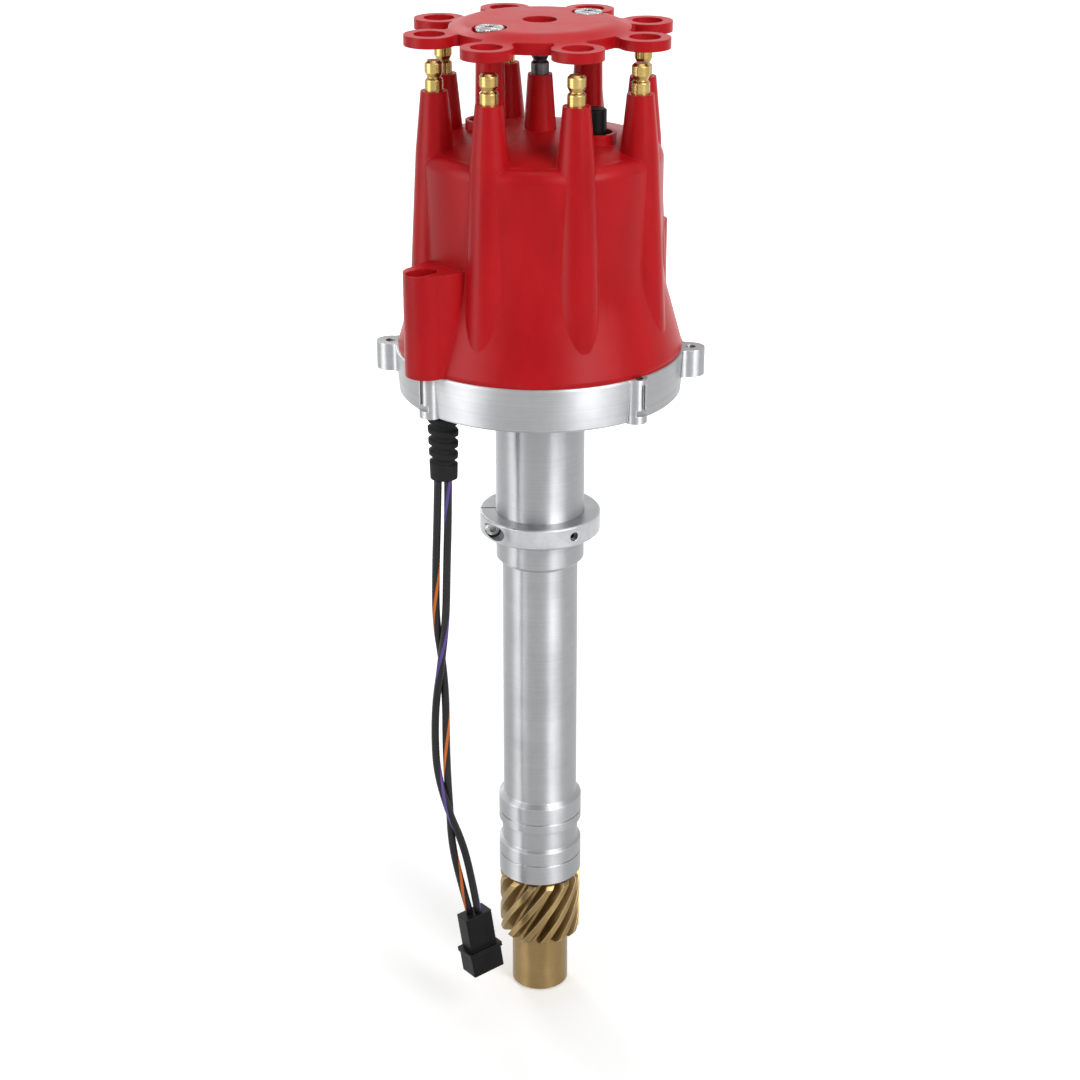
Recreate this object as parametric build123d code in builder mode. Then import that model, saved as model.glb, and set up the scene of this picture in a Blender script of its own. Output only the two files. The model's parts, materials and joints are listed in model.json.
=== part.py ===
from build123d import *
import math
import os

os.makedirs("parts", exist_ok=True)

# Ignition distributor for a V8 engine, in millimetres.
# The origin is on the shaft's axis, in the plane of the slip collar's seat. +Z is up, the front
# faces -Y, and the housing's two ears lie on the X axis.
# Angles round the axis are in degrees, counted from the front towards +X.

# Clearances, all on the radius or on one face
RUNNING_GAP = 0.03
PRESS_GAP = 0.02
FACE_GAP = 0.3
ARM_GAP = 0.5
EDGE_BREAK = 0.5

# Housing: barrel, pilot lands and grooves
SHANK_DEPTH = 146.7
SHANK_R = 14.2
PILOT_R = 16.1
PILOT_HEIGHT = 33.9
PILOT_TAPER = 1.6
OIL_GROOVE_START = 14.1
OIL_GROOVE_WIDTH = 9.4
OIL_GROOVE_DEPTH = 1.3
OIL_GROOVE_SLOPE = 0.9
LINE_GROOVE_HEIGHTS = (8.6, 27.1)
LINE_GROOVE_WIDTH = 0.7
LINE_GROOVE_DEPTH = 0.5
BARREL_R = 16.5
BARREL_START = -10.6
BARREL_STEP = 2.0
HOUSING_BORE_WALL = 2.65

# Housing: neck, bowl, ears and corner lugs
NECK_DROP = 7.0
NECK_FILLET = 5.0
UNDERSIDE_SLOPE = 4.0
BOWL_TOP_R = 52.5
BOWL_TAPER = 1.2
BOWL_HEIGHT = 16.0
BOWL_TOP = 72.4
BOWL_FLOOR_DEPTH = 10.5
BOWL_WALL = 6.0
RIM_CHAMFER = 0.8
EAR_OFFSET = 2.0
EAR_END_R = 5.2
EAR_HEIGHT = 10.0
EAR_HOLE_R = 1.8
EAR_FILLET = 3.0
LUG_ANGLES = (-135, -45, 45, 135)
LUG_SETBACK = 1.5
LUG_R = 4.0
LUG_HOLE_DEPTH = 14.0
LUG_SLOT_WIDTH = 1.8
LUG_SLOT_TOP = 1.6
LUG_SLOT_HEIGHT = 9.4
LUG_NOTCH_WIDTH = 5.0
LUG_NOTCH_HEIGHT = 2.2
LUG_NOTCH_DEPTH = 1.1

# Lower bushing and upper ball bearing
BUSHING_WALL = 3.15
BUSHING_LENGTH = 38.0
BEARING_R = 14.29
BEARING_WIDTH = 7.94
BEARING_DEPTH = 9.5
INNER_RACE_WALL = 2.55
OUTER_RACE_WALL = 2.59
BALL_R = 2.0
BALL_COUNT = 8
SNAP_RING_THICKNESS = 1.1
SNAP_RING_REACH = 0.9
SNAP_RING_STEP = 0.9
SNAP_RING_OPENING = 30.0

# Drive shaft, thrust washer and drive gear
SHAFT_R = 6.35
STUB_R = 4.8
END_FLOAT = 0.2
WASHER_THICKNESS = 1.2
WASHER_R = 13.4
GEAR_TEETH = 13
GEAR_TIP_R = 15.9
TOOTH_DEPTH = 4.2
TOOTH_ROOT_WIDTH = 4.6
TOOTH_TIP_WIDTH = 2.5
TOOTH_LENGTH = 26.5
GEAR_HELIX = 36.0
TOOTH_END_CHAMFER = 1.2
HUB_R = 11.1
HUB_LENGTH = 24.0
ROLL_PIN_R = 1.6
ROLL_PIN_HEIGHT = 12.5
SHAFT_END_SETBACK = 0.6
DRIVE_SLOT_WIDTH = 5.2
DRIVE_SLOT_DEPTH = 8.0

# Slip collar, its clamp screw and its set screw
COLLAR_WALL = 6.0
COLLAR_HEIGHT = 7.8
COLLAR_SPLIT_ANGLE = -86.0
COLLAR_SPLIT_WIDTH = 0.9
CLAMP_NORMAL_ANGLE = -75.0
CLAMP_OFFSET = 2.8
CLAMP_SCREW_R = 1.5
CLAMP_HEAD_R = 2.6
CLAMP_HEAD_LENGTH = 3.0
CLAMP_HEAD_SEAT = 5.0
CLAMP_HEAD_GAP = 0.35
CLAMP_TAIL = 9.5
CLAMP_SOCKET_R = 1.3
SET_SCREW_ANGLE = 38.0
SET_SCREW_R = 1.7
SET_SCREW_LENGTH = 4.6
SET_SCREW_SOCKET_R = 0.95

# Rotating mechanism, laid out in a frame that the rotor's arm points along
ROTOR_ANGLE = 22.5
RELUCTOR_RISE = 4.1
RELUCTOR_HUB_R = 10.5
RELUCTOR_HUB_HEIGHT = 7.6
RELUCTOR_DISC_R = 14.0
RELUCTOR_THICKNESS = 1.6
PADDLE_COUNT = 8
PADDLE_WIDTH = 5.0
PADDLE_TIP_THICKNESS = 2.0
PADDLE_TIP_HEIGHT = 8.0
ADVANCE_BASE_RISE = 24.6
ADVANCE_BASE_THICKNESS = 2.5
ADVANCE_BASE_LENGTH = 58.0
ADVANCE_BASE_WIDTH = 20.0
ADVANCE_HUB_R = 9.5
ADVANCE_HUB_HEIGHT = 3.5
WEIGHT_PIN_R = 2.4
WEIGHT_PIN_PITCH = 22.0
WEIGHT_PIN_LENGTH = 11.9
WEIGHT_THICKNESS = 5.0
WEIGHT_INNER_R = 15.0
WEIGHT_OUTER_R = 27.5
WEIGHT_START = 6.0
WEIGHT_END = 150.0
WEIGHT_EYE_R = 5.5
CARRIER_WALL = 2.57
CAM_LENGTH = 26.4
CAM_WIDTH = 18.0
CAM_THICKNESS = 4.2
CARRIER_PLATE_GAP = 1.0
CARRIER_PLATE_THICKNESS = 2.0
CARRIER_PLATE_LENGTH = 52.0
CARRIER_PLATE_WIDTH = 20.0
SPRING_POST_R = 1.5
SPRING_POST_X = 9.0
SPRING_POST_Y = 15.0
SPRING_WIRE_R = 0.4
SPRING_COIL_R = 1.9

# Magnetic pickup
PICKUP_ANGLE = -112.5
PICKUP_AIR_GAP = 0.5
PICKUP_BRACKET_THICKNESS = 1.5
PICKUP_BRACKET_LENGTH = 34.0
PICKUP_BRACKET_WIDTH = 11.0
PICKUP_SETBACK = 15.5
PICKUP_POLE_LENGTH = 4.88
PICKUP_COIL_DEPTH = 10.0
PICKUP_COIL_WIDTH = 17.0
PICKUP_COIL_HEIGHT = 17.0
PICKUP_POLE_WIDTH = 2.6
PICKUP_POLE_HEIGHT = 7.0
PICKUP_SCREW_R = 1.5
PICKUP_SCREW_HEAD_R = 2.8
PICKUP_SCREW_HEAD_HEIGHT = 1.8
PICKUP_SCREW_LENGTH = 3.6

# Rotor, its blade, contact spring and screws
ROTOR_SEAT_GAP = 1.1
ROTOR_DISC_R = 31.0
ROTOR_DISC_THICKNESS = 4.0
ROTOR_ARM_WIDTH = 10.0
ROTOR_ARM_BACK = 8.5
BLADE_DEPTH = 18.2
BLADE_THICKNESS = 1.6
BLADE_WIDTH = 7.0
BLADE_OVERHANG = 4.2
ROTOR_GAP = 0.8
CONTACT_WIDTH = 5.0
CONTACT_THICKNESS = 0.6
ROTOR_SCREW_PITCH = 20.0
ROTOR_SCREW_R = 2.0
ROTOR_SCREW_HEAD_R = 3.4
ROTOR_SCREW_HEAD_HEIGHT = 2.4
ROTOR_BOSS_R = 4.2

# Cap shell
CAP_SETBACK = 1.2
CAP_FLARE = 7.8
CAP_WALL = 3.0
CAP_LIP_HEIGHT = 1.6
CAP_FLARE_HEIGHT = 29.2
CAP_FLARE_RADIUS = 60.0
CAP_WALL_HEIGHT = 74.0
CAP_SHOULDER_RADIUS = 5.0
CAP_CROWN_RISE = 5.0
CAP_CEILING_THICKNESS = 5.0
CAP_CEILING_DROP = 4.0
SPIGOT_WALL = 2.6
SPIGOT_HEIGHT = 2.0

# Cap towers and terminals
TOWER_COUNT = 8
TOWER_SETBACK = 5.3
TOWER_HEIGHT = 20.6
TOWER_TOP_R = 4.7
TOWER_SHOULDER_R = 6.75
BUTTRESS_RISE = 7.6
BUTTRESS_FOOT_R = 8.2
BUTTRESS_LEAN = 2.45
TERMINAL_POST_R = 2.2
TERMINAL_SEAT_DEPTH = 7.0
TERMINAL_STUD_R = 3.15
TERMINAL_WAIST_R = 2.3
TERMINAL_HEIGHT = 10.4
ELECTRODE_LAP = 1.2
CENTRE_TOWER_HEIGHT = 19.0
CENTRE_TOWER_TOP_R = 4.3
CENTRE_TOWER_FOOT_R = 6.05
CARBON_R = 2.5
CARBON_RISE = 6.0
CARBON_LENGTH = 8.8
CARBON_REACH = 4.8
CARBON_BOSS_R = 5.2

# Cap bosses, vent and retainer posts
BOSS_ANGLES = (-45, 135)
BOSS_HEIGHT = 37.0
BOSS_END_R = 7.6
BOSS_OFFSET = 0.9
BOSS_ROOT_DEPTH = 2.5
BOSS_ROOT_WIDTH = 20.0
BOSS_FILLET = 1.2
CAP_SCREW_SETBACK = 1.0
CAP_SCREW_R = 2.0
CAP_SCREW_GAP = 0.12
CAP_SCREW_HEAD_R = 3.1
CAP_SCREW_HEAD_HEIGHT = 3.2
CAP_SCREW_RISE = 11.6
CAP_SCREW_REACH = 9.0
POCKET_WIDTH = 7.4
POCKET_LENGTH = 12.0
POCKET_DEPTH = 6.0
VENT_ANGLE = 67.5
VENT_PITCH_R = 21.7
VENT_RING_R = 7.0
VENT_RING_HEIGHT = 1.6
VENT_RING_WALL = 1.4
VENT_R = 3.6
VENT_STEM_R = 2.4
VENT_HEIGHT = 9.0
POST_ANGLES = (-45, 135)
POST_PITCH_R = 22.5
POST_FOOT_R = 5.4
POST_TOP_R = 4.8

# Wire retainer
POST_HEIGHT = 33.0
RETAINER_THICKNESS = 4.5
RETAINER_SLOPE_WIDTH = 7.5
RETAINER_DROP = 2.6
RETAINER_LOOP_THICKNESS = 3.6
LOOP_OFFSET = 1.3
LOOP_REACH = 8.0
LOOP_HOLE_R = 5.5
LOOP_R = 8.9
LOOP_NECK_WIDTH = 11.5
RETAINER_HOLE_R = 6.0
RETAINER_POCKET_R = 6.0
RETAINER_POCKET_DEPTH = 2.2
RETAINER_SCREW_R = 1.9
RETAINER_SCREW_HEAD_R = 5.0
RETAINER_SCREW_HEAD_HEIGHT = 2.6
RETAINER_SCREW_LENGTH = 9.0

# Strain relief, signal wires and connector
EXIT_ANGLE = -45.0
EXIT_SETBACK = 1.0
EXIT_HOLE_R = 3.9
RELIEF_LENGTH = 23.4
RELIEF_TAIL = 6.3
RELIEF_TOP_R = 5.7
RELIEF_BOTTOM_R = 4.9
RELIEF_RIBS = 5
RELIEF_GROOVE_DEPTH = 1.1
RELIEF_COLLAR_HEIGHT = 2.0
WIRE_R = 1.45
# Both routes and the connector's top are counted from the middle of the relief's lower end
WIRE_A_ROUTE = [
    (1.47, -0.23, -0.15), (1.37, -1.03, -14.5), (0.57, -1.23, -35.0), (-0.03, -1.43, -56.0),
    (-2.03, -3.73, -74.0), (-4.43, -1.53, -90.0), (-5.03, -1.43, -105.5), (-4.43, -1.23, -120.0),
    (-0.13, -3.63, -135.0), (4.97, -0.93, -150.5), (8.17, -0.83, -166.5), (10.27, -0.43, -180.8),
]
WIRE_B_ROUTE = [
    (-2.13, -0.53, -0.15), (-2.53, -1.33, -15.0), (-3.43, -1.43, -35.5), (-3.83, -1.33, -56.5),
    (-1.83, 1.07, -74.5), (-0.63, -1.13, -89.5), (-0.83, -1.23, -105.0), (-0.53, -1.53, -120.5),
    (-0.23, 1.27, -135.5), (0.57, -1.23, -150.0), (3.37, -0.63, -166.0), (7.07, -0.73, -181.15),
]
CONNECTOR_PLACE = (8.77, -0.53, -181.2)
CONNECTOR_TILT = 8.0
CONNECTOR_TURN = 38.0
CONNECTOR_WIDTH = 11.6
CONNECTOR_DEPTH = 7.2
CONNECTOR_LENGTH = 25.0
CONNECTOR_BODY_LENGTH = 14.7
CONNECTOR_LIP_HEIGHT = 1.6
CONNECTOR_LIP = 1.5
CONNECTOR_SHROUD = 1.0
CONNECTOR_MOUTH_WALL = 1.1
CONNECTOR_MOUTH_DEPTH = 10.0
CONNECTOR_PIN_R = 0.75
CONNECTOR_PIN_PITCH = 5.0

# Radii that follow from the sizes above
BOWL_BOTTOM_R = BOWL_TOP_R - BOWL_TAPER
BOWL_BORE_R = BOWL_TOP_R - BOWL_WALL
EAR_CENTRE_R = BOWL_TOP_R + EAR_OFFSET
LUG_CENTRE_R = BOWL_TOP_R - LUG_SETBACK
EXIT_R = BOWL_BORE_R - EXIT_SETBACK
OIL_GROOVE_R = PILOT_R - OIL_GROOVE_DEPTH
HOUSING_BORE_R = SHAFT_R + HOUSING_BORE_WALL
BUSHING_R = SHAFT_R + BUSHING_WALL
INNER_RACE_R = SHAFT_R + INNER_RACE_WALL
OUTER_RACE_R = BEARING_R - OUTER_RACE_WALL
BEARING_PITCH_R = (SHAFT_R + BEARING_R) / 2
SNAP_RING_BORE_R = OUTER_RACE_R + SNAP_RING_STEP
GEAR_ROOT_R = GEAR_TIP_R - TOOTH_DEPTH
COLLAR_R = BARREL_R + COLLAR_WALL
CLAMP_AXIS_R = BARREL_R + CLAMP_OFFSET
CARRIER_TUBE_R = STUB_R + RUNNING_GAP + CARRIER_WALL
PICKUP_COIL_START_R = BOWL_BORE_R - PICKUP_SETBACK
POLE_START_R = PICKUP_COIL_START_R - PICKUP_POLE_LENGTH
PADDLE_TIP_R = math.sqrt((POLE_START_R - PICKUP_AIR_GAP) ** 2 - (PADDLE_WIDTH / 2) ** 2)
CAP_SCREW_PITCH_R = BOWL_TOP_R - CAP_SCREW_SETBACK
CAP_BASE_R = BOWL_TOP_R - CAP_SETBACK
CAP_WALL_R = CAP_BASE_R - CAP_FLARE
CAP_MOUTH_R = BOWL_BORE_R - FACE_GAP - SPIGOT_WALL
BOSS_CENTRE_R = CAP_SCREW_PITCH_R + BOSS_OFFSET
BOSS_ROOT_R = CAP_WALL_R - BOSS_ROOT_DEPTH
TOWER_PITCH_R = CAP_WALL_R - TOWER_SETBACK
BUTTRESS_FOOT_PITCH_R = TOWER_PITCH_R + BUTTRESS_LEAN
BLADE_TIP_R = TOWER_PITCH_R - TERMINAL_POST_R - ROTOR_GAP
ROTOR_ARM_REACH = BLADE_TIP_R - BLADE_OVERHANG
LOOP_PITCH_R = TOWER_PITCH_R + LOOP_OFFSET
RETAINER_DISC_R = LOOP_PITCH_R - LOOP_REACH
RETAINER_FLAT_R = RETAINER_DISC_R - RETAINER_SLOPE_WIDTH

# Heights that follow from the sizes above
HOUSING_END = -SHANK_DEPTH
PILOT_TOP = HOUSING_END + PILOT_HEIGHT
BOWL_BOTTOM = BOWL_TOP - BOWL_HEIGHT
BOWL_FLOOR = BOWL_TOP - BOWL_FLOOR_DEPTH
NECK_START = BOWL_BOTTOM - NECK_DROP
RELIEF_TOP = BOWL_BOTTOM - 2 * EDGE_BREAK
RELIEF_BOTTOM = RELIEF_TOP - RELIEF_LENGTH
WASHER_TOP = HOUSING_END - END_FLOAT
GEAR_TOP = WASHER_TOP - WASHER_THICKNESS
TEETH_BOTTOM = GEAR_TOP - TOOTH_LENGTH
HUB_BOTTOM = TEETH_BOTTOM - HUB_LENGTH
SHAFT_BOTTOM = HUB_BOTTOM + SHAFT_END_SETBACK
BEARING_SEAT = BOWL_FLOOR - BEARING_DEPTH
BEARING_TOP = BEARING_SEAT + BEARING_WIDTH
RELUCTOR_SEAT = BOWL_FLOOR + RELUCTOR_RISE
ADVANCE_BASE_TOP = BOWL_FLOOR + ADVANCE_BASE_RISE
WEIGHT_SEAT = ADVANCE_BASE_TOP + FACE_GAP
WEIGHT_PIN_TOP = ADVANCE_BASE_TOP + WEIGHT_PIN_LENGTH
CARRIER_PLATE_SEAT = WEIGHT_SEAT + WEIGHT_THICKNESS + CARRIER_PLATE_GAP
ROTOR_SEAT = WEIGHT_PIN_TOP + ROTOR_SEAT_GAP
ROTOR_DISC_TOP = ROTOR_SEAT + ROTOR_DISC_THICKNESS
CAP_SHOULDER = BOWL_TOP + CAP_WALL_HEIGHT
CAP_CROWN = CAP_SHOULDER + CAP_CROWN_RISE
CAP_CEILING_CENTRE = CAP_CROWN - CAP_CEILING_THICKNESS
CAP_CEILING_CORNER = CAP_CEILING_CENTRE - CAP_CEILING_DROP
CAP_FLARE_CORNER = BOWL_TOP + CAP_FLARE_HEIGHT
BUTTRESS_FOOT = BOWL_TOP + BUTTRESS_RISE
BOSS_TOP = BOWL_TOP + BOSS_HEIGHT
CAP_SCREW_SEAT = BOWL_TOP + CAP_SCREW_RISE
BLADE_SEAT = CAP_SHOULDER - BLADE_DEPTH
ELECTRODE_TIP = BLADE_SEAT - ELECTRODE_LAP
CARBON_TIP = BLADE_SEAT + CARBON_RISE
CARBON_TOP = CARBON_TIP + CARBON_LENGTH
CARBON_BOSS_BOTTOM = CARBON_TIP + CARBON_REACH
TOWER_TOP = CAP_SHOULDER + TOWER_HEIGHT
CENTRE_TOWER_TOP = CAP_CROWN + CENTRE_TOWER_HEIGHT
VENT_TOP = CAP_CROWN + VENT_HEIGHT
RETAINER_SEAT = CAP_CROWN + POST_HEIGHT
RETAINER_TOP = RETAINER_SEAT + RETAINER_THICKNESS
LOOP_TOP = RETAINER_TOP - RETAINER_DROP
LOOP_BOTTOM = LOOP_TOP - RETAINER_LOOP_THICKNESS

TOWER_ANGLES = [(k + 0.5) * 360 / TOWER_COUNT for k in range(TOWER_COUNT)]


def direction(angle):
    """The outward direction at an angle counted from the front towards +X."""
    turn = math.radians(angle)
    return Vector(math.sin(turn), -math.cos(turn), 0)


def around(radius, angle, height=0.0):
    """A point at a radius, angle and height."""
    return direction(angle) * radius + Vector(0, 0, height)


def level(angle, height, radius=0.0):
    """A horizontal plane at a height, with its x axis pointing outward at an angle."""
    return Plane(around(radius, angle, height), x_dir=direction(angle), z_dir=(0, 0, 1))


def upright(angle):
    """The vertical plane through the axis at an angle: its x is the radius, its y the height."""
    return Plane((0, 0, 0), x_dir=direction(angle), z_dir=direction(angle).cross(Vector(0, 0, 1)))


def save(builder, name):
    """Labels a finished piece and writes its STEP file."""
    builder.part.label = name
    export_step(builder.part, f"parts/{name}.step")


# Housing: the barrel, pilot and bowl are turned, then the ears and lugs are milled
UNDERSIDE_DIRECTION = math.radians(UNDERSIDE_SLOPE)
NECK_CENTRE_X = BARREL_R + NECK_FILLET
NECK_END = (
    NECK_CENTRE_X - NECK_FILLET * math.sin(UNDERSIDE_DIRECTION),
    NECK_START + NECK_FILLET * math.cos(UNDERSIDE_DIRECTION),
)
UNDERSIDE_END_R = BOWL_BOTTOM_R - RIM_CHAMFER
UNDERSIDE_END = (
    UNDERSIDE_END_R,
    NECK_END[1] + (UNDERSIDE_END_R - NECK_END[0]) * math.tan(UNDERSIDE_DIRECTION),
)

with BuildPart() as housing:
    with BuildSketch(Plane.XZ):
        with BuildLine():
            shank = Polyline(
                (0, HOUSING_END),
                (PILOT_R - EDGE_BREAK, HOUSING_END),
                (PILOT_R, HOUSING_END + EDGE_BREAK),
                (PILOT_R, HOUSING_END + OIL_GROOVE_START),
                (OIL_GROOVE_R, HOUSING_END + OIL_GROOVE_START + OIL_GROOVE_SLOPE),
                (OIL_GROOVE_R, HOUSING_END + OIL_GROOVE_START + OIL_GROOVE_WIDTH - OIL_GROOVE_SLOPE),
                (PILOT_R, HOUSING_END + OIL_GROOVE_START + OIL_GROOVE_WIDTH),
                (PILOT_R, PILOT_TOP),
                (SHANK_R, PILOT_TOP + PILOT_TAPER),
                (SHANK_R, BARREL_START - BARREL_STEP),
                (BARREL_R, BARREL_START),
                (BARREL_R, NECK_START),
            )
            neck = JernArc(shank @ 1, (0, 1), NECK_FILLET, UNDERSIDE_SLOPE - 90)
            Polyline(
                neck @ 1,
                UNDERSIDE_END,
                (BOWL_BOTTOM_R, UNDERSIDE_END[1] + RIM_CHAMFER),
                (BOWL_TOP_R - EDGE_BREAK / 2, BOWL_TOP - EDGE_BREAK),
                (BOWL_TOP_R - EDGE_BREAK, BOWL_TOP),
                (0, BOWL_TOP),
                (0, HOUSING_END),
            )
        make_face()
    revolve(axis=Axis.Z)
    with BuildSketch(Plane.XY.offset(BOWL_TOP - EAR_HEIGHT)):
        Circle(BOWL_BOTTOM_R)
        with GridLocations(2 * EAR_CENTRE_R, 0, 2, 1):
            Circle(EAR_END_R)
        Rectangle(2 * EAR_CENTRE_R, 2 * EAR_END_R)
        fillet(
            [v for v in vertices() if BOWL_BORE_R < v.center().length < BOWL_TOP_R], EAR_FILLET
        )
    extrude(amount=EAR_HEIGHT)
    with BuildSketch(Plane.XY.offset(UNDERSIDE_END[1])):
        for angle in LUG_ANGLES:
            with Locations(around(LUG_CENTRE_R, angle)):
                Circle(LUG_R)
    extrude(amount=BOWL_TOP - UNDERSIDE_END[1])
    for height in LINE_GROOVE_HEIGHTS:
        with BuildSketch(Plane.XY.offset(HOUSING_END + height - LINE_GROOVE_WIDTH / 2)):
            Circle(PILOT_R + EDGE_BREAK)
            Circle(PILOT_R - LINE_GROOVE_DEPTH, mode=Mode.SUBTRACT)
        extrude(amount=LINE_GROOVE_WIDTH, mode=Mode.SUBTRACT)
    with BuildSketch(Plane.XZ):
        Polygon(
            (0, HOUSING_END),
            (BUSHING_R + PRESS_GAP, HOUSING_END),
            (BUSHING_R + PRESS_GAP, HOUSING_END + BUSHING_LENGTH),
            (HOUSING_BORE_R, HOUSING_END + BUSHING_LENGTH),
            (HOUSING_BORE_R, BEARING_SEAT),
            (BEARING_R + PRESS_GAP, BEARING_SEAT),
            (BEARING_R + PRESS_GAP, BOWL_FLOOR),
            (BOWL_BORE_R, BOWL_FLOOR),
            (BOWL_BORE_R, BOWL_TOP),
            (0, BOWL_TOP),
            align=None,
        )
    revolve(axis=Axis.Z, mode=Mode.SUBTRACT)
    with BuildSketch(Plane.XY.offset(BEARING_TOP)):
        Circle(BEARING_R + SNAP_RING_REACH + PRESS_GAP)
    extrude(amount=SNAP_RING_THICKNESS, mode=Mode.SUBTRACT)
    with Locations(Plane.XY.offset(BOWL_TOP)):
        with GridLocations(2 * EAR_CENTRE_R, 0, 2, 1):
            Hole(EAR_HOLE_R, EAR_HEIGHT)
    for angle in LUG_ANGLES:
        with Locations(around(CAP_SCREW_PITCH_R, angle, BOWL_TOP)):
            Hole(CAP_SCREW_R + CAP_SCREW_GAP, LUG_HOLE_DEPTH)
        slot_centre = BOWL_TOP - LUG_SLOT_TOP - LUG_SLOT_HEIGHT / 2
        with Locations(level(angle, slot_centre, LUG_CENTRE_R + LUG_R)):
            Box(2 * LUG_NOTCH_DEPTH, LUG_SLOT_WIDTH, LUG_SLOT_HEIGHT, mode=Mode.SUBTRACT)
        notch_centre = BOWL_TOP - LUG_SLOT_TOP - LUG_SLOT_HEIGHT - LUG_NOTCH_HEIGHT / 2
        with Locations(level(angle, notch_centre, LUG_CENTRE_R + LUG_R)):
            Box(2 * LUG_NOTCH_DEPTH, LUG_NOTCH_WIDTH, LUG_NOTCH_HEIGHT, mode=Mode.SUBTRACT)
    with BuildSketch(level(EXIT_ANGLE, BOWL_BOTTOM - NECK_FILLET)):
        with Locations((EXIT_R, 0)):
            Circle(EXIT_HOLE_R)
    extrude(amount=BOWL_HEIGHT, mode=Mode.SUBTRACT)
    with BuildSketch(level(PICKUP_ANGLE, BOWL_FLOOR)):
        with Locations((PICKUP_COIL_START_R + PICKUP_COIL_DEPTH / 2, 0)):
            with GridLocations(0, PICKUP_BRACKET_LENGTH - PICKUP_BRACKET_WIDTH, 1, 2):
                Circle(PICKUP_SCREW_R + PRESS_GAP)
    extrude(amount=-PICKUP_SCREW_LENGTH, mode=Mode.SUBTRACT)
save(housing, "housing")

with BuildPart() as lower_bushing:
    with BuildSketch(Plane.XY.offset(HOUSING_END)):
        Circle(BUSHING_R)
        Circle(SHAFT_R + RUNNING_GAP, mode=Mode.SUBTRACT)
    extrude(amount=BUSHING_LENGTH)
    chamfer(lower_bushing.edges().filter_by(GeomType.CIRCLE).sort_by(SortBy.RADIUS)[:2], EDGE_BREAK)
save(lower_bushing, "lower_bushing")

# Upper ball bearing and the ring that keeps it in its pocket
BEARING_MIDDLE = BEARING_SEAT + BEARING_WIDTH / 2

with BuildPart() as bearing_outer_race:
    with BuildSketch(Plane.XZ):
        with Locations(((BEARING_R + OUTER_RACE_R) / 2, BEARING_MIDDLE)):
            Rectangle(BEARING_R - OUTER_RACE_R, BEARING_WIDTH)
        with Locations((BEARING_PITCH_R, BEARING_MIDDLE)):
            Circle(BALL_R + RUNNING_GAP, mode=Mode.SUBTRACT)
    revolve(axis=Axis.Z)
save(bearing_outer_race, "bearing_outer_race")

with BuildPart() as bearing_inner_race:
    with BuildSketch(Plane.XZ):
        inner_wall = INNER_RACE_R - SHAFT_R - PRESS_GAP
        with Locations((INNER_RACE_R - inner_wall / 2, BEARING_MIDDLE)):
            Rectangle(inner_wall, BEARING_WIDTH)
        with Locations((BEARING_PITCH_R, BEARING_MIDDLE)):
            Circle(BALL_R + RUNNING_GAP, mode=Mode.SUBTRACT)
    revolve(axis=Axis.Z)
save(bearing_inner_race, "bearing_inner_race")

with BuildPart() as bearing_balls:
    with Locations(Plane.XY.offset(BEARING_MIDDLE)):
        with PolarLocations(BEARING_PITCH_R, BALL_COUNT):
            Sphere(BALL_R)
save(bearing_balls, "bearing_balls")

with BuildPart() as snap_ring:
    with BuildSketch(Plane.XY.offset(BEARING_TOP)):
        Circle(BEARING_R + SNAP_RING_REACH)
        Circle(SNAP_RING_BORE_R, mode=Mode.SUBTRACT)
        reach = 2 * BEARING_R
        Polygon(
            (0, 0),
            (reach, -reach * math.tan(math.radians(SNAP_RING_OPENING / 2))),
            (reach, reach * math.tan(math.radians(SNAP_RING_OPENING / 2))),
            align=None,
            mode=Mode.SUBTRACT,
        )
    extrude(amount=SNAP_RING_THICKNESS)
save(snap_ring, "snap_ring")

# Drive shaft, with the slot for the oil pump's tongue in its lower end
with BuildPart() as drive_shaft:
    with BuildSketch(Plane.XZ):
        Polygon(
            (0, SHAFT_BOTTOM),
            (SHAFT_R - EDGE_BREAK, SHAFT_BOTTOM),
            (SHAFT_R, SHAFT_BOTTOM + EDGE_BREAK),
            (SHAFT_R, ADVANCE_BASE_TOP),
            (STUB_R, ADVANCE_BASE_TOP),
            (STUB_R, ROTOR_SEAT + FACE_GAP),
            (STUB_R - EDGE_BREAK, ROTOR_SEAT + FACE_GAP + EDGE_BREAK),
            (0, ROTOR_SEAT + FACE_GAP + EDGE_BREAK),
            align=None,
        )
    revolve(axis=Axis.Z)
    with Locations((0, 0, SHAFT_BOTTOM)):
        Box(4 * SHAFT_R, DRIVE_SLOT_WIDTH, 2 * DRIVE_SLOT_DEPTH, mode=Mode.SUBTRACT)
    with Locations(Plane.YZ.offset(-HUB_R)):
        with Locations((0, HUB_BOTTOM + ROLL_PIN_HEIGHT)):
            Cylinder(
                ROLL_PIN_R, 2 * HUB_R,
                align=(Align.CENTER, Align.CENTER, Align.MIN), mode=Mode.SUBTRACT,
            )
save(drive_shaft, "drive_shaft")

with BuildPart() as thrust_washer:
    with BuildSketch(Plane.XY.offset(GEAR_TOP)):
        Circle(WASHER_R)
        Circle(SHAFT_R + PRESS_GAP, mode=Mode.SUBTRACT)
    extrude(amount=WASHER_THICKNESS)
save(thrust_washer, "thrust_washer")

# Drive gear: the tooth section is twisted along the axis, a right-handed helix
GEAR_TWIST = math.degrees(TOOTH_LENGTH * math.tan(math.radians(GEAR_HELIX)) / GEAR_TIP_R)

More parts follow.
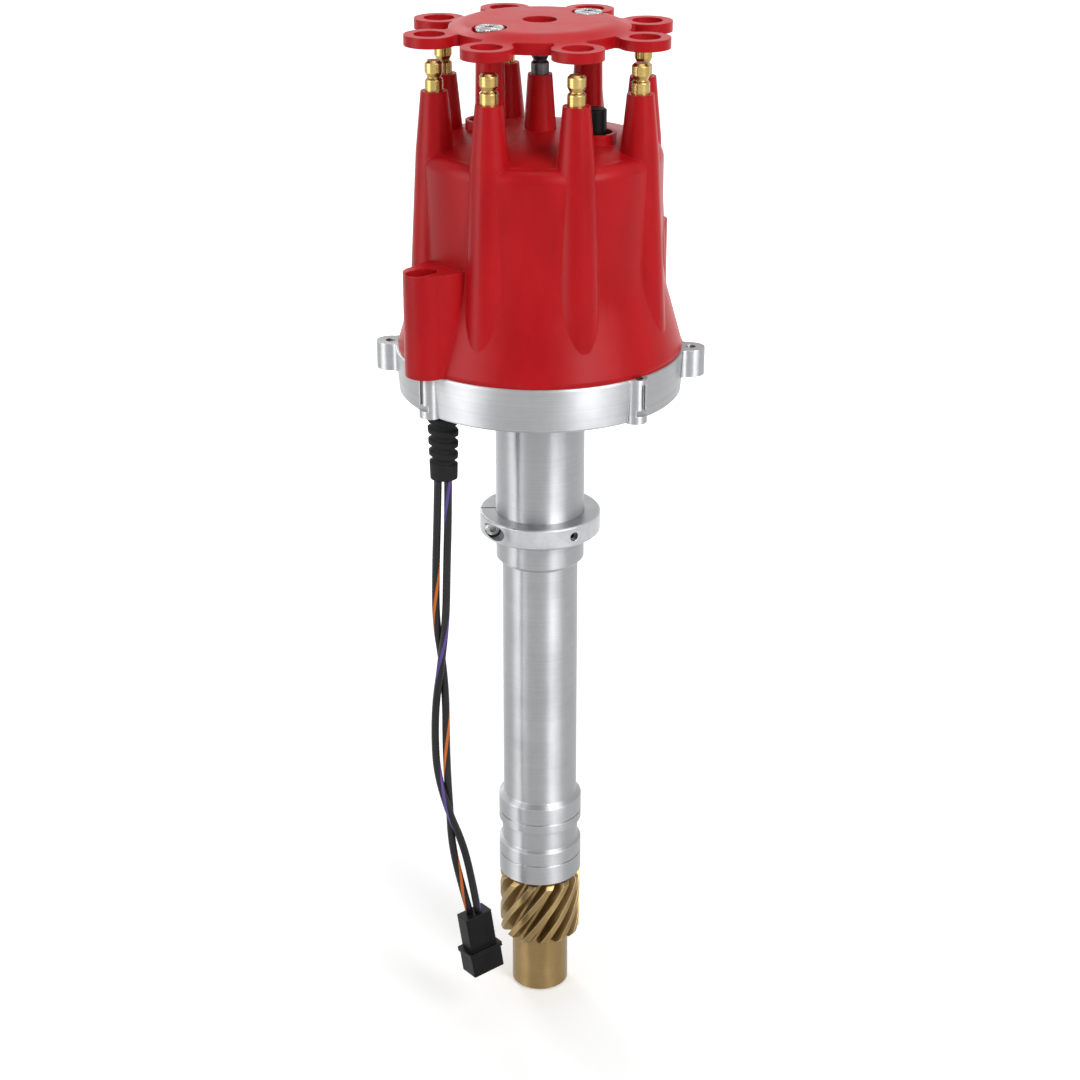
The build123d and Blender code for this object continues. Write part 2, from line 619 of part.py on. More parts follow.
with BuildSketch(Plane.XY.offset(TEETH_BOTTOM)) as gear_section:
    Circle(GEAR_ROOT_R)
    with PolarLocations(0, GEAR_TEETH):
        Polygon(
            (GEAR_ROOT_R - EDGE_BREAK, -TOOTH_ROOT_WIDTH / 2),
            (GEAR_TIP_R + EDGE_BREAK, -TOOTH_TIP_WIDTH / 2),
            (GEAR_TIP_R + EDGE_BREAK, TOOTH_TIP_WIDTH / 2),
            (GEAR_ROOT_R - EDGE_BREAK, TOOTH_ROOT_WIDTH / 2),
            align=None,
        )
    Circle(GEAR_TIP_R, mode=Mode.INTERSECT)

with BuildPart() as drive_gear:
    add(
        Solid.extrude_linear_with_rotation(
            gear_section.sketch.faces()[0], (0, 0, TEETH_BOTTOM), (0, 0, TOOTH_LENGTH), GEAR_TWIST
        )
    )
    for end, inward in ((TEETH_BOTTOM, 1), (GEAR_TOP, -1)):
        with BuildSketch(Plane.XZ):
            Polygon(
                (GEAR_TIP_R - TOOTH_END_CHAMFER, end),
                (GEAR_TIP_R + EDGE_BREAK, end + (TOOTH_END_CHAMFER + EDGE_BREAK) * inward),
                (GEAR_TIP_R + EDGE_BREAK, end - EDGE_BREAK * inward),
                (GEAR_TIP_R - TOOTH_END_CHAMFER, end - EDGE_BREAK * inward),
                align=None,
            )
        revolve(axis=Axis.Z, mode=Mode.SUBTRACT)
    with BuildSketch(Plane.XY.offset(HUB_BOTTOM)):
        Circle(HUB_R)
    extrude(amount=HUB_LENGTH)
    chamfer(drive_gear.edges().filter_by(GeomType.CIRCLE).sort_by(Axis.Z)[0], EDGE_BREAK)
    with Locations((0, 0, HUB_BOTTOM)):
        Cylinder(
            SHAFT_R + PRESS_GAP, HUB_LENGTH + TOOTH_LENGTH,
            align=(Align.CENTER, Align.CENTER, Align.MIN), mode=Mode.SUBTRACT,
        )
    with Locations(Plane.YZ.offset(-HUB_R)):
        with Locations((0, HUB_BOTTOM + ROLL_PIN_HEIGHT)):
            Cylinder(
                ROLL_PIN_R, 2 * HUB_R,
                align=(Align.CENTER, Align.CENTER, Align.MIN), mode=Mode.SUBTRACT,
            )
save(drive_gear, "drive_gear")

with BuildPart() as gear_roll_pin:
    with Locations(Plane.YZ.offset(-HUB_R + EDGE_BREAK)):
        with Locations((0, HUB_BOTTOM + ROLL_PIN_HEIGHT)):
            Cylinder(
                ROLL_PIN_R - PRESS_GAP, 2 * (HUB_R - EDGE_BREAK),
                align=(Align.CENTER, Align.CENTER, Align.MIN),
            )
            Cylinder(
                ROLL_PIN_R / 2, 2 * (HUB_R - EDGE_BREAK),
                align=(Align.CENTER, Align.CENTER, Align.MIN), mode=Mode.SUBTRACT,
            )
save(gear_roll_pin, "gear_roll_pin")

# Slip collar: a split ring closed by a screw along a chord, with a set screw in its wall
CLAMP_DIRECTION = direction(CLAMP_NORMAL_ANGLE + 90)
CLAMP_FOOT = around(CLAMP_AXIS_R, CLAMP_NORMAL_ANGLE, COLLAR_HEIGHT / 2)
CLAMP_PLANE = Plane(
    CLAMP_FOOT + CLAMP_DIRECTION * CLAMP_HEAD_SEAT, x_dir=(0, 0, 1), z_dir=CLAMP_DIRECTION
)

with BuildPart() as slip_collar:
    with BuildSketch(Plane.XY):
        Circle(COLLAR_R)
        Circle(BARREL_R + RUNNING_GAP, mode=Mode.SUBTRACT)
    extrude(amount=COLLAR_HEIGHT)
    chamfer(slip_collar.edges().filter_by(GeomType.CIRCLE).sort_by(SortBy.RADIUS)[-2:], EDGE_BREAK)
    with Locations(level(COLLAR_SPLIT_ANGLE, COLLAR_HEIGHT / 2, COLLAR_R)):
        Box(2 * (COLLAR_R - HOUSING_BORE_R), COLLAR_SPLIT_WIDTH, 2 * COLLAR_HEIGHT, mode=Mode.SUBTRACT)
    with BuildSketch(CLAMP_PLANE):
        Circle(CLAMP_HEAD_R + CLAMP_HEAD_GAP)
    extrude(amount=COLLAR_R, mode=Mode.SUBTRACT)
    with BuildSketch(CLAMP_PLANE):
        Circle(CLAMP_SCREW_R + PRESS_GAP)
    extrude(amount=-2 * COLLAR_R, mode=Mode.SUBTRACT)
    with Locations(Plane(around(BARREL_R / 2, SET_SCREW_ANGLE, COLLAR_HEIGHT / 2),
                         z_dir=direction(SET_SCREW_ANGLE))):
        Cylinder(
            SET_SCREW_R + PRESS_GAP, COLLAR_R,
            align=(Align.CENTER, Align.CENTER, Align.MIN), mode=Mode.SUBTRACT,
        )
save(slip_collar, "slip_collar")

with BuildPart() as collar_clamp_screw:
    with BuildSketch(CLAMP_PLANE):
        Circle(CLAMP_HEAD_R)
    extrude(amount=CLAMP_HEAD_LENGTH)
    chamfer(collar_clamp_screw.edges().filter_by(GeomType.CIRCLE).sort_by(Axis.Y)[0], EDGE_BREAK / 2)
    with BuildSketch(CLAMP_PLANE):
        Circle(CLAMP_SCREW_R)
    extrude(amount=-(CLAMP_HEAD_SEAT + CLAMP_TAIL))
    with BuildSketch(CLAMP_PLANE.offset(CLAMP_HEAD_LENGTH)):
        RegularPolygon(CLAMP_SOCKET_R, 6)
    extrude(amount=-CLAMP_HEAD_LENGTH / 2, mode=Mode.SUBTRACT)
save(collar_clamp_screw, "collar_clamp_screw")

with BuildPart() as collar_set_screw:
    with Locations(Plane(around(BARREL_R + FACE_GAP, SET_SCREW_ANGLE, COLLAR_HEIGHT / 2),
                         z_dir=direction(SET_SCREW_ANGLE))):
        Cylinder(SET_SCREW_R, SET_SCREW_LENGTH, align=(Align.CENTER, Align.CENTER, Align.MIN))
    with BuildSketch(Plane(around(BARREL_R + FACE_GAP + SET_SCREW_LENGTH, SET_SCREW_ANGLE,
                                  COLLAR_HEIGHT / 2), z_dir=direction(SET_SCREW_ANGLE))):
        RegularPolygon(SET_SCREW_SOCKET_R, 6)
    extrude(amount=-SET_SCREW_LENGTH / 2, mode=Mode.SUBTRACT)
save(collar_set_screw, "collar_set_screw")

# Reluctor: a hub and disc with paddles whose tips turn up past the pickup's pole
RELUCTOR_DISC_SEAT = RELUCTOR_SEAT + RELUCTOR_HUB_HEIGHT - RELUCTOR_THICKNESS

with BuildPart() as reluctor:
    with BuildSketch(Plane.XY.offset(RELUCTOR_SEAT)):
        Circle(RELUCTOR_HUB_R)
    extrude(amount=RELUCTOR_HUB_HEIGHT)
    with BuildSketch(level(ROTOR_ANGLE, RELUCTOR_DISC_SEAT)):
        Circle(RELUCTOR_DISC_R)
        with PolarLocations(PADDLE_TIP_R / 2, PADDLE_COUNT):
            Rectangle(PADDLE_TIP_R, PADDLE_WIDTH)
    extrude(amount=RELUCTOR_THICKNESS)
    with BuildSketch(level(ROTOR_ANGLE, RELUCTOR_DISC_SEAT)):
        with PolarLocations(PADDLE_TIP_R - PADDLE_TIP_THICKNESS / 2, PADDLE_COUNT):
            Rectangle(PADDLE_TIP_THICKNESS, PADDLE_WIDTH)
    extrude(amount=PADDLE_TIP_HEIGHT)
    with BuildSketch(Plane.XY.offset(RELUCTOR_SEAT)):
        Circle(SHAFT_R + PRESS_GAP)
    extrude(amount=RELUCTOR_HUB_HEIGHT, mode=Mode.SUBTRACT)
save(reluctor, "reluctor")

# Magnetic pickup: bracket on the bowl's floor, coil block, pole piece and two screws
PICKUP_COIL_MIDDLE_R = PICKUP_COIL_START_R + PICKUP_COIL_DEPTH / 2
PICKUP_SEAT = BOWL_FLOOR + PICKUP_BRACKET_THICKNESS
POLE_SEAT = RELUCTOR_DISC_SEAT + FACE_GAP

with BuildPart() as pickup_bracket:
    with BuildSketch(level(PICKUP_ANGLE, BOWL_FLOOR)):
        with Locations((PICKUP_COIL_MIDDLE_R, 0)):
            SlotOverall(PICKUP_BRACKET_LENGTH, PICKUP_BRACKET_WIDTH, rotation=90)
            with GridLocations(0, PICKUP_BRACKET_LENGTH - PICKUP_BRACKET_WIDTH, 1, 2):
                Circle(PICKUP_SCREW_R + PRESS_GAP, mode=Mode.SUBTRACT)
    extrude(amount=PICKUP_BRACKET_THICKNESS)
save(pickup_bracket, "pickup_bracket")

with BuildPart() as pickup_coil:
    with BuildSketch(level(PICKUP_ANGLE, PICKUP_SEAT)):
        with Locations((PICKUP_COIL_MIDDLE_R, 0)):
            RectangleRounded(PICKUP_COIL_DEPTH, PICKUP_COIL_WIDTH, 2)
    extrude(amount=PICKUP_COIL_HEIGHT)
    chamfer(pickup_coil.edges().group_by(Axis.Z)[-1], EDGE_BREAK)
save(pickup_coil, "pickup_coil")

with BuildPart() as pickup_pole:
    with Locations(level(PICKUP_ANGLE, POLE_SEAT)):
        with Locations(((POLE_START_R + PICKUP_COIL_START_R) / 2, 0, PICKUP_POLE_HEIGHT / 2)):
            Box(PICKUP_COIL_START_R - POLE_START_R, PICKUP_POLE_WIDTH, PICKUP_POLE_HEIGHT)
save(pickup_pole, "pickup_pole")

with BuildPart() as pickup_screws:
    with BuildSketch(level(PICKUP_ANGLE, PICKUP_SEAT)):
        with Locations((PICKUP_COIL_MIDDLE_R, 0)):
            with GridLocations(0, PICKUP_BRACKET_LENGTH - PICKUP_BRACKET_WIDTH, 1, 2):
                Circle(PICKUP_SCREW_HEAD_R)
    extrude(amount=PICKUP_SCREW_HEAD_HEIGHT)
    with BuildSketch(level(PICKUP_ANGLE, PICKUP_SEAT)):
        with Locations((PICKUP_COIL_MIDDLE_R, 0)):
            with GridLocations(0, PICKUP_BRACKET_LENGTH - PICKUP_BRACKET_WIDTH, 1, 2):
                Circle(PICKUP_SCREW_R)
    extrude(amount=-(PICKUP_BRACKET_THICKNESS + PICKUP_SCREW_LENGTH - EDGE_BREAK))
save(pickup_screws, "pickup_screws")

# Mechanical advance: base plate on the shaft, two pins, two weights, cam carrier and springs
with BuildPart() as advance_base:
    with BuildSketch(level(ROTOR_ANGLE, ADVANCE_BASE_TOP - ADVANCE_BASE_THICKNESS)):
        SlotOverall(ADVANCE_BASE_LENGTH, ADVANCE_BASE_WIDTH)
    extrude(amount=ADVANCE_BASE_THICKNESS)
    with BuildSketch(Plane.XY.offset(ADVANCE_BASE_TOP - ADVANCE_BASE_THICKNESS)):
        Circle(ADVANCE_HUB_R)
    extrude(amount=-ADVANCE_HUB_HEIGHT)
    with BuildSketch(level(ROTOR_ANGLE, ADVANCE_BASE_TOP)):
        Circle(SHAFT_R + PRESS_GAP)
        with GridLocations(2 * WEIGHT_PIN_PITCH, 0, 2, 1):
            Circle(WEIGHT_PIN_R + PRESS_GAP)
    extrude(amount=-(ADVANCE_BASE_THICKNESS + ADVANCE_HUB_HEIGHT), mode=Mode.SUBTRACT)
save(advance_base, "advance_base")

with BuildPart() as weight_pins:
    with BuildSketch(level(ROTOR_ANGLE, ADVANCE_BASE_TOP - ADVANCE_BASE_THICKNESS)):
        with GridLocations(2 * WEIGHT_PIN_PITCH, 0, 2, 1):
            Circle(WEIGHT_PIN_R)
    extrude(amount=WEIGHT_PIN_TOP - ADVANCE_BASE_TOP + ADVANCE_BASE_THICKNESS)
    chamfer(weight_pins.edges().group_by(Axis.Z)[-1], EDGE_BREAK)
save(weight_pins, "weight_pins")


def sector_point(radius, degrees):
    """A point of the mechanism's frame at a radius and an angle from the rotor's arm."""
    return (radius * math.cos(math.radians(degrees)), radius * math.sin(math.radians(degrees)))


WEIGHT_MIDDLE = (WEIGHT_START + WEIGHT_END) / 2

for name, turn in (("weight_a", 0), ("weight_b", 180)):
    with BuildPart() as weight:
        with BuildSketch(level(ROTOR_ANGLE + turn, WEIGHT_SEAT)):
            with BuildLine():
                ThreePointArc(
                    sector_point(WEIGHT_OUTER_R, WEIGHT_START),
                    sector_point(WEIGHT_OUTER_R, WEIGHT_MIDDLE),
                    sector_point(WEIGHT_OUTER_R, WEIGHT_END),
                )
                ThreePointArc(
                    sector_point(WEIGHT_OUTER_R, WEIGHT_END),
                    sector_point((WEIGHT_OUTER_R + WEIGHT_INNER_R) / 2, WEIGHT_END + WEIGHT_START),
                    sector_point(WEIGHT_INNER_R, WEIGHT_END),
                )
                ThreePointArc(
                    sector_point(WEIGHT_INNER_R, WEIGHT_END),
                    sector_point(WEIGHT_INNER_R, WEIGHT_MIDDLE),
                    sector_point(WEIGHT_INNER_R, WEIGHT_START),
                )
                Line(
                    sector_point(WEIGHT_INNER_R, WEIGHT_START),
                    sector_point(WEIGHT_OUTER_R, WEIGHT_START),
                )
            make_face()
            with Locations((WEIGHT_PIN_PITCH, 0)):
                Circle(WEIGHT_EYE_R)
                Circle(WEIGHT_PIN_R + RUNNING_GAP, mode=Mode.SUBTRACT)
        extrude(amount=WEIGHT_THICKNESS)
    save(weight, name)

with BuildPart() as cam_carrier:
    with BuildSketch(level(ROTOR_ANGLE, WEIGHT_SEAT)):
        Circle(CARRIER_TUBE_R)
    extrude(amount=ROTOR_SEAT - WEIGHT_SEAT)
    with BuildSketch(level(ROTOR_ANGLE, WEIGHT_SEAT + FACE_GAP)):
        Ellipse(CAM_LENGTH / 2, CAM_WIDTH / 2)
    extrude(amount=CAM_THICKNESS)
    with BuildSketch(level(ROTOR_ANGLE, CARRIER_PLATE_SEAT)):
        SlotOverall(CARRIER_PLATE_LENGTH, CARRIER_PLATE_WIDTH, rotation=90)
    extrude(amount=CARRIER_PLATE_THICKNESS)
    with BuildSketch(level(ROTOR_ANGLE, CARRIER_PLATE_SEAT + CARRIER_PLATE_THICKNESS)):
        with GridLocations(0, 2 * ROTOR_SCREW_PITCH, 1, 2):
            Circle(ROTOR_BOSS_R)
    extrude(amount=ROTOR_SEAT - CARRIER_PLATE_SEAT - CARRIER_PLATE_THICKNESS)
    with BuildSketch(level(ROTOR_ANGLE, CARRIER_PLATE_SEAT + CARRIER_PLATE_THICKNESS)):
        with Locations((SPRING_POST_X, -SPRING_POST_Y), (-SPRING_POST_X, SPRING_POST_Y)):
            Circle(SPRING_POST_R)
    extrude(amount=WEIGHT_PIN_TOP - CARRIER_PLATE_SEAT - CARRIER_PLATE_THICKNESS)
    with BuildSketch(level(ROTOR_ANGLE, WEIGHT_SEAT)):
        Circle(STUB_R + RUNNING_GAP)
    extrude(amount=ROTOR_SEAT - WEIGHT_SEAT, mode=Mode.SUBTRACT)
    with BuildSketch(level(ROTOR_ANGLE, ROTOR_SEAT)):
        with GridLocations(0, 2 * ROTOR_SCREW_PITCH, 1, 2):
            Circle(ROTOR_SCREW_R + PRESS_GAP)
    extrude(amount=-(ROTOR_SEAT - CARRIER_PLATE_SEAT), mode=Mode.SUBTRACT)
save(cam_carrier, "cam_carrier")

# Advance springs: a close-wound coil from a loop round a weight's pin to a loop round a carrier's post
SPRING_LEVEL = CARRIER_PLATE_SEAT + CARRIER_PLATE_THICKNESS + FACE_GAP + SPRING_COIL_R
PIN_LOOP_R = WEIGHT_PIN_R + FACE_GAP + SPRING_WIRE_R
POST_LOOP_R = SPRING_POST_R + FACE_GAP + SPRING_WIRE_R

for name, turn in (("advance_spring_a", 0), ("advance_spring_b", 180)):
    frame = level(ROTOR_ANGLE + turn, SPRING_LEVEL)
    pin = frame.from_local_coords(Vector(WEIGHT_PIN_PITCH, 0, 0))
    post = frame.from_local_coords(Vector(SPRING_POST_X, -SPRING_POST_Y, 0))
    along = (post - pin).normalized()
    coil_start = pin + along * PIN_LOOP_R
    coil_length = (post - pin).length - PIN_LOOP_R - POST_LOOP_R
    with BuildPart() as spring:
        with Locations(Plane(coil_start, z_dir=along)):
            Cylinder(SPRING_COIL_R, coil_length, align=(Align.CENTER, Align.CENTER, Align.MIN))
        for centre, loop_r in ((pin, PIN_LOOP_R), (post, POST_LOOP_R)):
            with Locations(centre):
                Torus(loop_r, SPRING_WIRE_R)
    save(spring, name)

# Rotor: a round foot over the weights and a tower that carries the blade out to the cap's electrodes
with BuildPart() as rotor:
    with BuildSketch(Plane.XY.offset(ROTOR_SEAT)):
        Circle(ROTOR_DISC_R)
    extrude(amount=ROTOR_DISC_THICKNESS)
    chamfer(rotor.edges().group_by(Axis.Z)[-1], EDGE_BREAK)
    with BuildSketch(upright(ROTOR_ANGLE)):
        Polygon(
            (-ROTOR_ARM_BACK, ROTOR_DISC_TOP - EDGE_BREAK),
            (-ROTOR_ARM_BACK + 2 * EDGE_BREAK, BLADE_SEAT),
            (ROTOR_ARM_REACH, BLADE_SEAT),
            (ROTOR_ARM_REACH, BLADE_SEAT - ROTOR_DISC_THICKNESS),
            (ROTOR_ARM_REACH / 2, ROTOR_DISC_TOP - EDGE_BREAK),
            align=None,
        )
    extrude(amount=ROTOR_ARM_WIDTH / 2, both=True)
    with BuildSketch(Plane.XY.offset(ROTOR_DISC_TOP - EDGE_BREAK)):
        Circle(ROTOR_ARM_BACK)
    extrude(amount=BLADE_SEAT - ROTOR_DISC_TOP + EDGE_BREAK, taper=EDGE_BREAK)
    with BuildSketch(Plane.XY.offset(ROTOR_SEAT)):
        Circle(STUB_R + ARM_GAP)
    extrude(amount=ROTOR_DISC_THICKNESS, mode=Mode.SUBTRACT)
    with BuildSketch(level(ROTOR_ANGLE, ROTOR_DISC_TOP)):
        with GridLocations(0, 2 * ROTOR_SCREW_PITCH, 1, 2):
            Circle(ROTOR_SCREW_R + PRESS_GAP)
    extrude(amount=-ROTOR_DISC_THICKNESS, mode=Mode.SUBTRACT)
save(rotor, "rotor")

with BuildPart() as rotor_blade:
    with BuildSketch(level(ROTOR_ANGLE, BLADE_SEAT)):
        with Locations(((BLADE_TIP_R - ROTOR_ARM_BACK / 2) / 2, 0)):
            Rectangle(BLADE_TIP_R + ROTOR_ARM_BACK / 2, BLADE_WIDTH)
        Circle(BLADE_TIP_R, mode=Mode.INTERSECT)
    extrude(amount=BLADE_THICKNESS)
save(rotor_blade, "rotor_blade")

# The contact spring is a strip that rises from the blade to just under the carbon button
CONTACT_SEAT = BLADE_SEAT + BLADE_THICKNESS
CONTACT_TOP = CARBON_TIP - FACE_GAP

with BuildPart() as contact_spring:
    with BuildSketch(upright(ROTOR_ANGLE)):
        with BuildLine():
            strip = Polyline(
                (ROTOR_ARM_REACH / 2, CONTACT_SEAT + CONTACT_THICKNESS / 2),
                (ROTOR_ARM_BACK, CONTACT_SEAT + CONTACT_THICKNESS / 2),
                (CARBON_R, CONTACT_TOP - CONTACT_THICKNESS / 2),
                (-CARBON_R, CONTACT_TOP - CONTACT_THICKNESS / 2),
            )
            offset(strip, CONTACT_THICKNESS / 2, side=Side.BOTH)
        make_face()
    extrude(amount=CONTACT_WIDTH / 2, both=True)
save(contact_spring, "contact_spring")

with BuildPart() as rotor_screws:
    with BuildSketch(level(ROTOR_ANGLE, ROTOR_DISC_TOP)):
        with GridLocations(0, 2 * ROTOR_SCREW_PITCH, 1, 2):
            Circle(ROTOR_SCREW_HEAD_R)
    extrude(amount=ROTOR_SCREW_HEAD_HEIGHT)
    chamfer(rotor_screws.edges().group_by(Axis.Z)[-1], EDGE_BREAK)
    with BuildSketch(level(ROTOR_ANGLE, ROTOR_DISC_TOP)):
        with GridLocations(0, 2 * ROTOR_SCREW_PITCH, 1, 2):
            Circle(ROTOR_SCREW_R)
    extrude(amount=-(ROTOR_DISC_TOP - CARRIER_PLATE_SEAT - EDGE_BREAK))
    with BuildSketch(level(ROTOR_ANGLE, ROTOR_DISC_TOP + ROTOR_SCREW_HEAD_HEIGHT)):
        with GridLocations(0, 2 * ROTOR_SCREW_PITCH, 1, 2):
            Rectangle(2 * ROTOR_SCREW_HEAD_R, CONTACT_THICKNESS)
    extrude(amount=-ROTOR_SCREW_HEAD_HEIGHT / 2, mode=Mode.SUBTRACT)
save(rotor_screws, "rotor_screws")

# Cap shell: a bell with eight buttressed towers, a centre tower, two hold-down bosses, two posts
# for the wire retainer and two raised rings, hollow inside
LIP_TOP = BOWL_TOP + CAP_LIP_HEIGHT
FLARE_SLOPE = (CAP_BASE_R - CAP_WALL_R) / (CAP_FLARE_CORNER - LIP_TOP)
FLARE_TURN = math.atan(FLARE_SLOPE)
INNER_WALL_R = CAP_WALL_R - CAP_WALL
INNER_CORNER = CAP_FLARE_CORNER - CAP_WALL * math.tan(FLARE_TURN / 2)
MOUTH_TOP = INNER_CORNER - (CAP_MOUTH_R - INNER_WALL_R) / FLARE_SLOPE

with BuildPart() as cap:
    with BuildSketch(Plane.XZ):
        with BuildLine():
            Line((0, BOWL_TOP), (CAP_BASE_R, BOWL_TOP))
            Line((CAP_BASE_R, BOWL_TOP), (CAP_BASE_R, LIP_TOP))
            wall = FilletPolyline(
                (CAP_BASE_R, LIP_TOP),
                (CAP_WALL_R, CAP_FLARE_CORNER),
                (CAP_WALL_R, CAP_SHOULDER - CAP_SHOULDER_RADIUS),
                radius=CAP_FLARE_RADIUS,
            )
            corner = JernArc(wall @ 1, (0, 1), CAP_SHOULDER_RADIUS, 90)
            crown = ThreePointArc(
                corner @ 1,
                ((corner @ 1).X / 2, CAP_SHOULDER + (CAP_CROWN - CAP_SHOULDER) * 3 / 4),
                (0, CAP_CROWN),
            )
            Line(crown @ 1, (0, BOWL_TOP))
        make_face()
    revolve(axis=Axis.Z)
    for angle in TOWER_ANGLES:
        with BuildSketch(level(angle, BUTTRESS_FOOT, BUTTRESS_FOOT_PITCH_R)):
            Circle(BUTTRESS_FOOT_R)
        with BuildSketch(level(angle, CAP_SHOULDER, TOWER_PITCH_R)):
            Circle(TOWER_SHOULDER_R)
        with BuildSketch(level(angle, TOWER_TOP, TOWER_PITCH_R)):
            Circle(TOWER_TOP_R)
        loft(ruled=True)
    for angle in BOSS_ANGLES:
        with BuildSketch(level(angle, BOWL_TOP)):
            with Locations((BOSS_CENTRE_R, 0)):
                Circle(BOSS_END_R)
            Polygon(
                (BOSS_ROOT_R, -BOSS_ROOT_WIDTH / 2),
                (BOSS_CENTRE_R, -BOSS_END_R),
                (BOSS_CENTRE_R, BOSS_END_R),
                (BOSS_ROOT_R, BOSS_ROOT_WIDTH / 2),
                align=None,
            )
        extrude(amount=BOSS_TOP - BOWL_TOP)
    with Locations((0, 0, CAP_SHOULDER)):
        Cone(
            CENTRE_TOWER_FOOT_R, CENTRE_TOWER_TOP_R, CENTRE_TOWER_TOP - CAP_SHOULDER,
            align=(Align.CENTER, Align.CENTER, Align.MIN),
        )
    for angle in POST_ANGLES:
        with Locations(around(POST_PITCH_R, angle, CAP_SHOULDER)):
            Cone(
                POST_FOOT_R, POST_TOP_R, RETAINER_SEAT - CAP_SHOULDER,
                align=(Align.CENTER, Align.CENTER, Align.MIN),
            )
    for angle in (VENT_ANGLE, VENT_ANGLE + 180):
        with BuildSketch(level(angle, CAP_SHOULDER, VENT_PITCH_R)):
            Circle(VENT_RING_R)
            Circle(VENT_RING_R - VENT_RING_WALL, mode=Mode.SUBTRACT)
        extrude(amount=CAP_CROWN - CAP_SHOULDER + VENT_RING_HEIGHT / 2)
    with BuildSketch(Plane.XY.offset(BOWL_TOP - SPIGOT_HEIGHT)):
        Circle(BOWL_BORE_R - FACE_GAP)
    extrude(amount=SPIGOT_HEIGHT)
    with BuildSketch(Plane.XZ):
        with BuildLine():
            Polyline(
                (0, BOWL_TOP - SPIGOT_HEIGHT),
                (CAP_MOUTH_R, BOWL_TOP - SPIGOT_HEIGHT),
                (CAP_MOUTH_R, MOUTH_TOP),
                (INNER_WALL_R, INNER_CORNER),
                (INNER_WALL_R, CAP_CEILING_CORNER - CAP_WALL),
                (CAP_WALL_R - 2 * CAP_WALL, CAP_CEILING_CORNER),
                (CARBON_BOSS_R, CAP_CEILING_CENTRE),
                (CARBON_BOSS_R, CARBON_BOSS_BOTTOM),
                (0, CARBON_BOSS_BOTTOM),
                (0, BOWL_TOP - SPIGOT_HEIGHT),
            )
        make_face()
    revolve(axis=Axis.Z, mode=Mode.SUBTRACT)
    for angle in TOWER_ANGLES:
        with Locations(around(TOWER_PITCH_R, angle, TOWER_TOP)):
            CounterBoreHole(
                TERMINAL_POST_R + PRESS_GAP, TERMINAL_STUD_R + PRESS_GAP, TERMINAL_SEAT_DEPTH,
                TOWER_TOP - ELECTRODE_TIP,
            )
    with Locations((0, 0, CENTRE_TOWER_TOP)):
        CounterBoreHole(
            TERMINAL_POST_R + PRESS_GAP, TERMINAL_STUD_R + PRESS_GAP, TERMINAL_SEAT_DEPTH,
            CENTRE_TOWER_TOP - CARBON_TOP,
        )
    with BuildSketch(Plane.XY.offset(CARBON_BOSS_BOTTOM)):
        Circle(CARBON_R + PRESS_GAP)
    extrude(amount=CARBON_TOP - CARBON_BOSS_BOTTOM, mode=Mode.SUBTRACT)
    for angle in BOSS_ANGLES:
        with BuildSketch(level(angle, BOSS_TOP)):
            with Locations((CAP_SCREW_PITCH_R + (POCKET_LENGTH - POCKET_WIDTH) / 2, 0)):
                SlotOverall(POCKET_LENGTH, POCKET_WIDTH)
        extrude(amount=-POCKET_DEPTH, mode=Mode.SUBTRACT)
        with Locations(around(CAP_SCREW_PITCH_R, angle, BOSS_TOP - POCKET_DEPTH)):
            CounterBoreHole(
                CAP_SCREW_R + PRESS_GAP, CAP_SCREW_HEAD_R + PRESS_GAP,
                BOSS_TOP - POCKET_DEPTH - CAP_SCREW_SEAT, BOSS_TOP - POCKET_DEPTH - BOWL_TOP,
            )
    for angle in POST_ANGLES:
        with Locations(around(POST_PITCH_R, angle, RETAINER_SEAT)):
            Hole(RETAINER_SCREW_R + PRESS_GAP, RETAINER_SCREW_LENGTH)
    with Locations(around(VENT_PITCH_R, VENT_ANGLE, CAP_CROWN + VENT_RING_HEIGHT)):
        Hole(VENT_STEM_R + PRESS_GAP, CAP_CROWN + VENT_RING_HEIGHT - CAP_CEILING_CORNER)
save(cap, "cap")


def terminal_profile(tower_top, bottom):
    """Half the section of a terminal: inner post, seat in the tower and stud with its waist."""
    seat = tower_top - TERMINAL_SEAT_DEPTH
    top = tower_top + TERMINAL_HEIGHT
    waist = tower_top + TERMINAL_HEIGHT * 0.45
    neck = TERMINAL_STUD_R - TERMINAL_WAIST_R
    Polygon(
        (0, bottom),
        (TERMINAL_POST_R, bottom),
        (TERMINAL_POST_R, seat),
        (TERMINAL_STUD_R, seat),
        (TERMINAL_STUD_R, waist - neck),
        (TERMINAL_WAIST_R, waist),
        (TERMINAL_STUD_R, waist + 2 * neck),
        (TERMINAL_STUD_R, top - neck),
        (TERMINAL_WAIST_R, top),
        (0, top),
        align=None,
    )


for number, angle in enumerate(TOWER_ANGLES, start=1):
    axis_plane = Plane(around(TOWER_PITCH_R, angle), x_dir=(1, 0, 0), z_dir=(0, -1, 0))
    with BuildPart() as plug_terminal:
        with BuildSketch(axis_plane):
            terminal_profile(TOWER_TOP, ELECTRODE_TIP)
        revolve(axis=Axis(around(TOWER_PITCH_R, angle), (0, 0, 1)))
    save(plug_terminal, f"plug_terminal_{number}")

with BuildPart() as coil_terminal:
    with BuildSketch(Plane.XZ):
        terminal_profile(CENTRE_TOWER_TOP, CARBON_TOP)
    revolve(axis=Axis.Z)
save(coil_terminal, "coil_terminal")

with BuildPart() as carbon_button:
    with BuildSketch(Plane.XZ):
        Polygon(
            (0, CARBON_TIP),
            (CARBON_R - EDGE_BREAK, CARBON_TIP),
            (CARBON_R, CARBON_TIP + EDGE_BREAK),
            (CARBON_R, CARBON_TOP),
            (0, CARBON_TOP),
            align=None,
        )
    revolve(axis=Axis.Z)
save(carbon_button, "carbon_button")

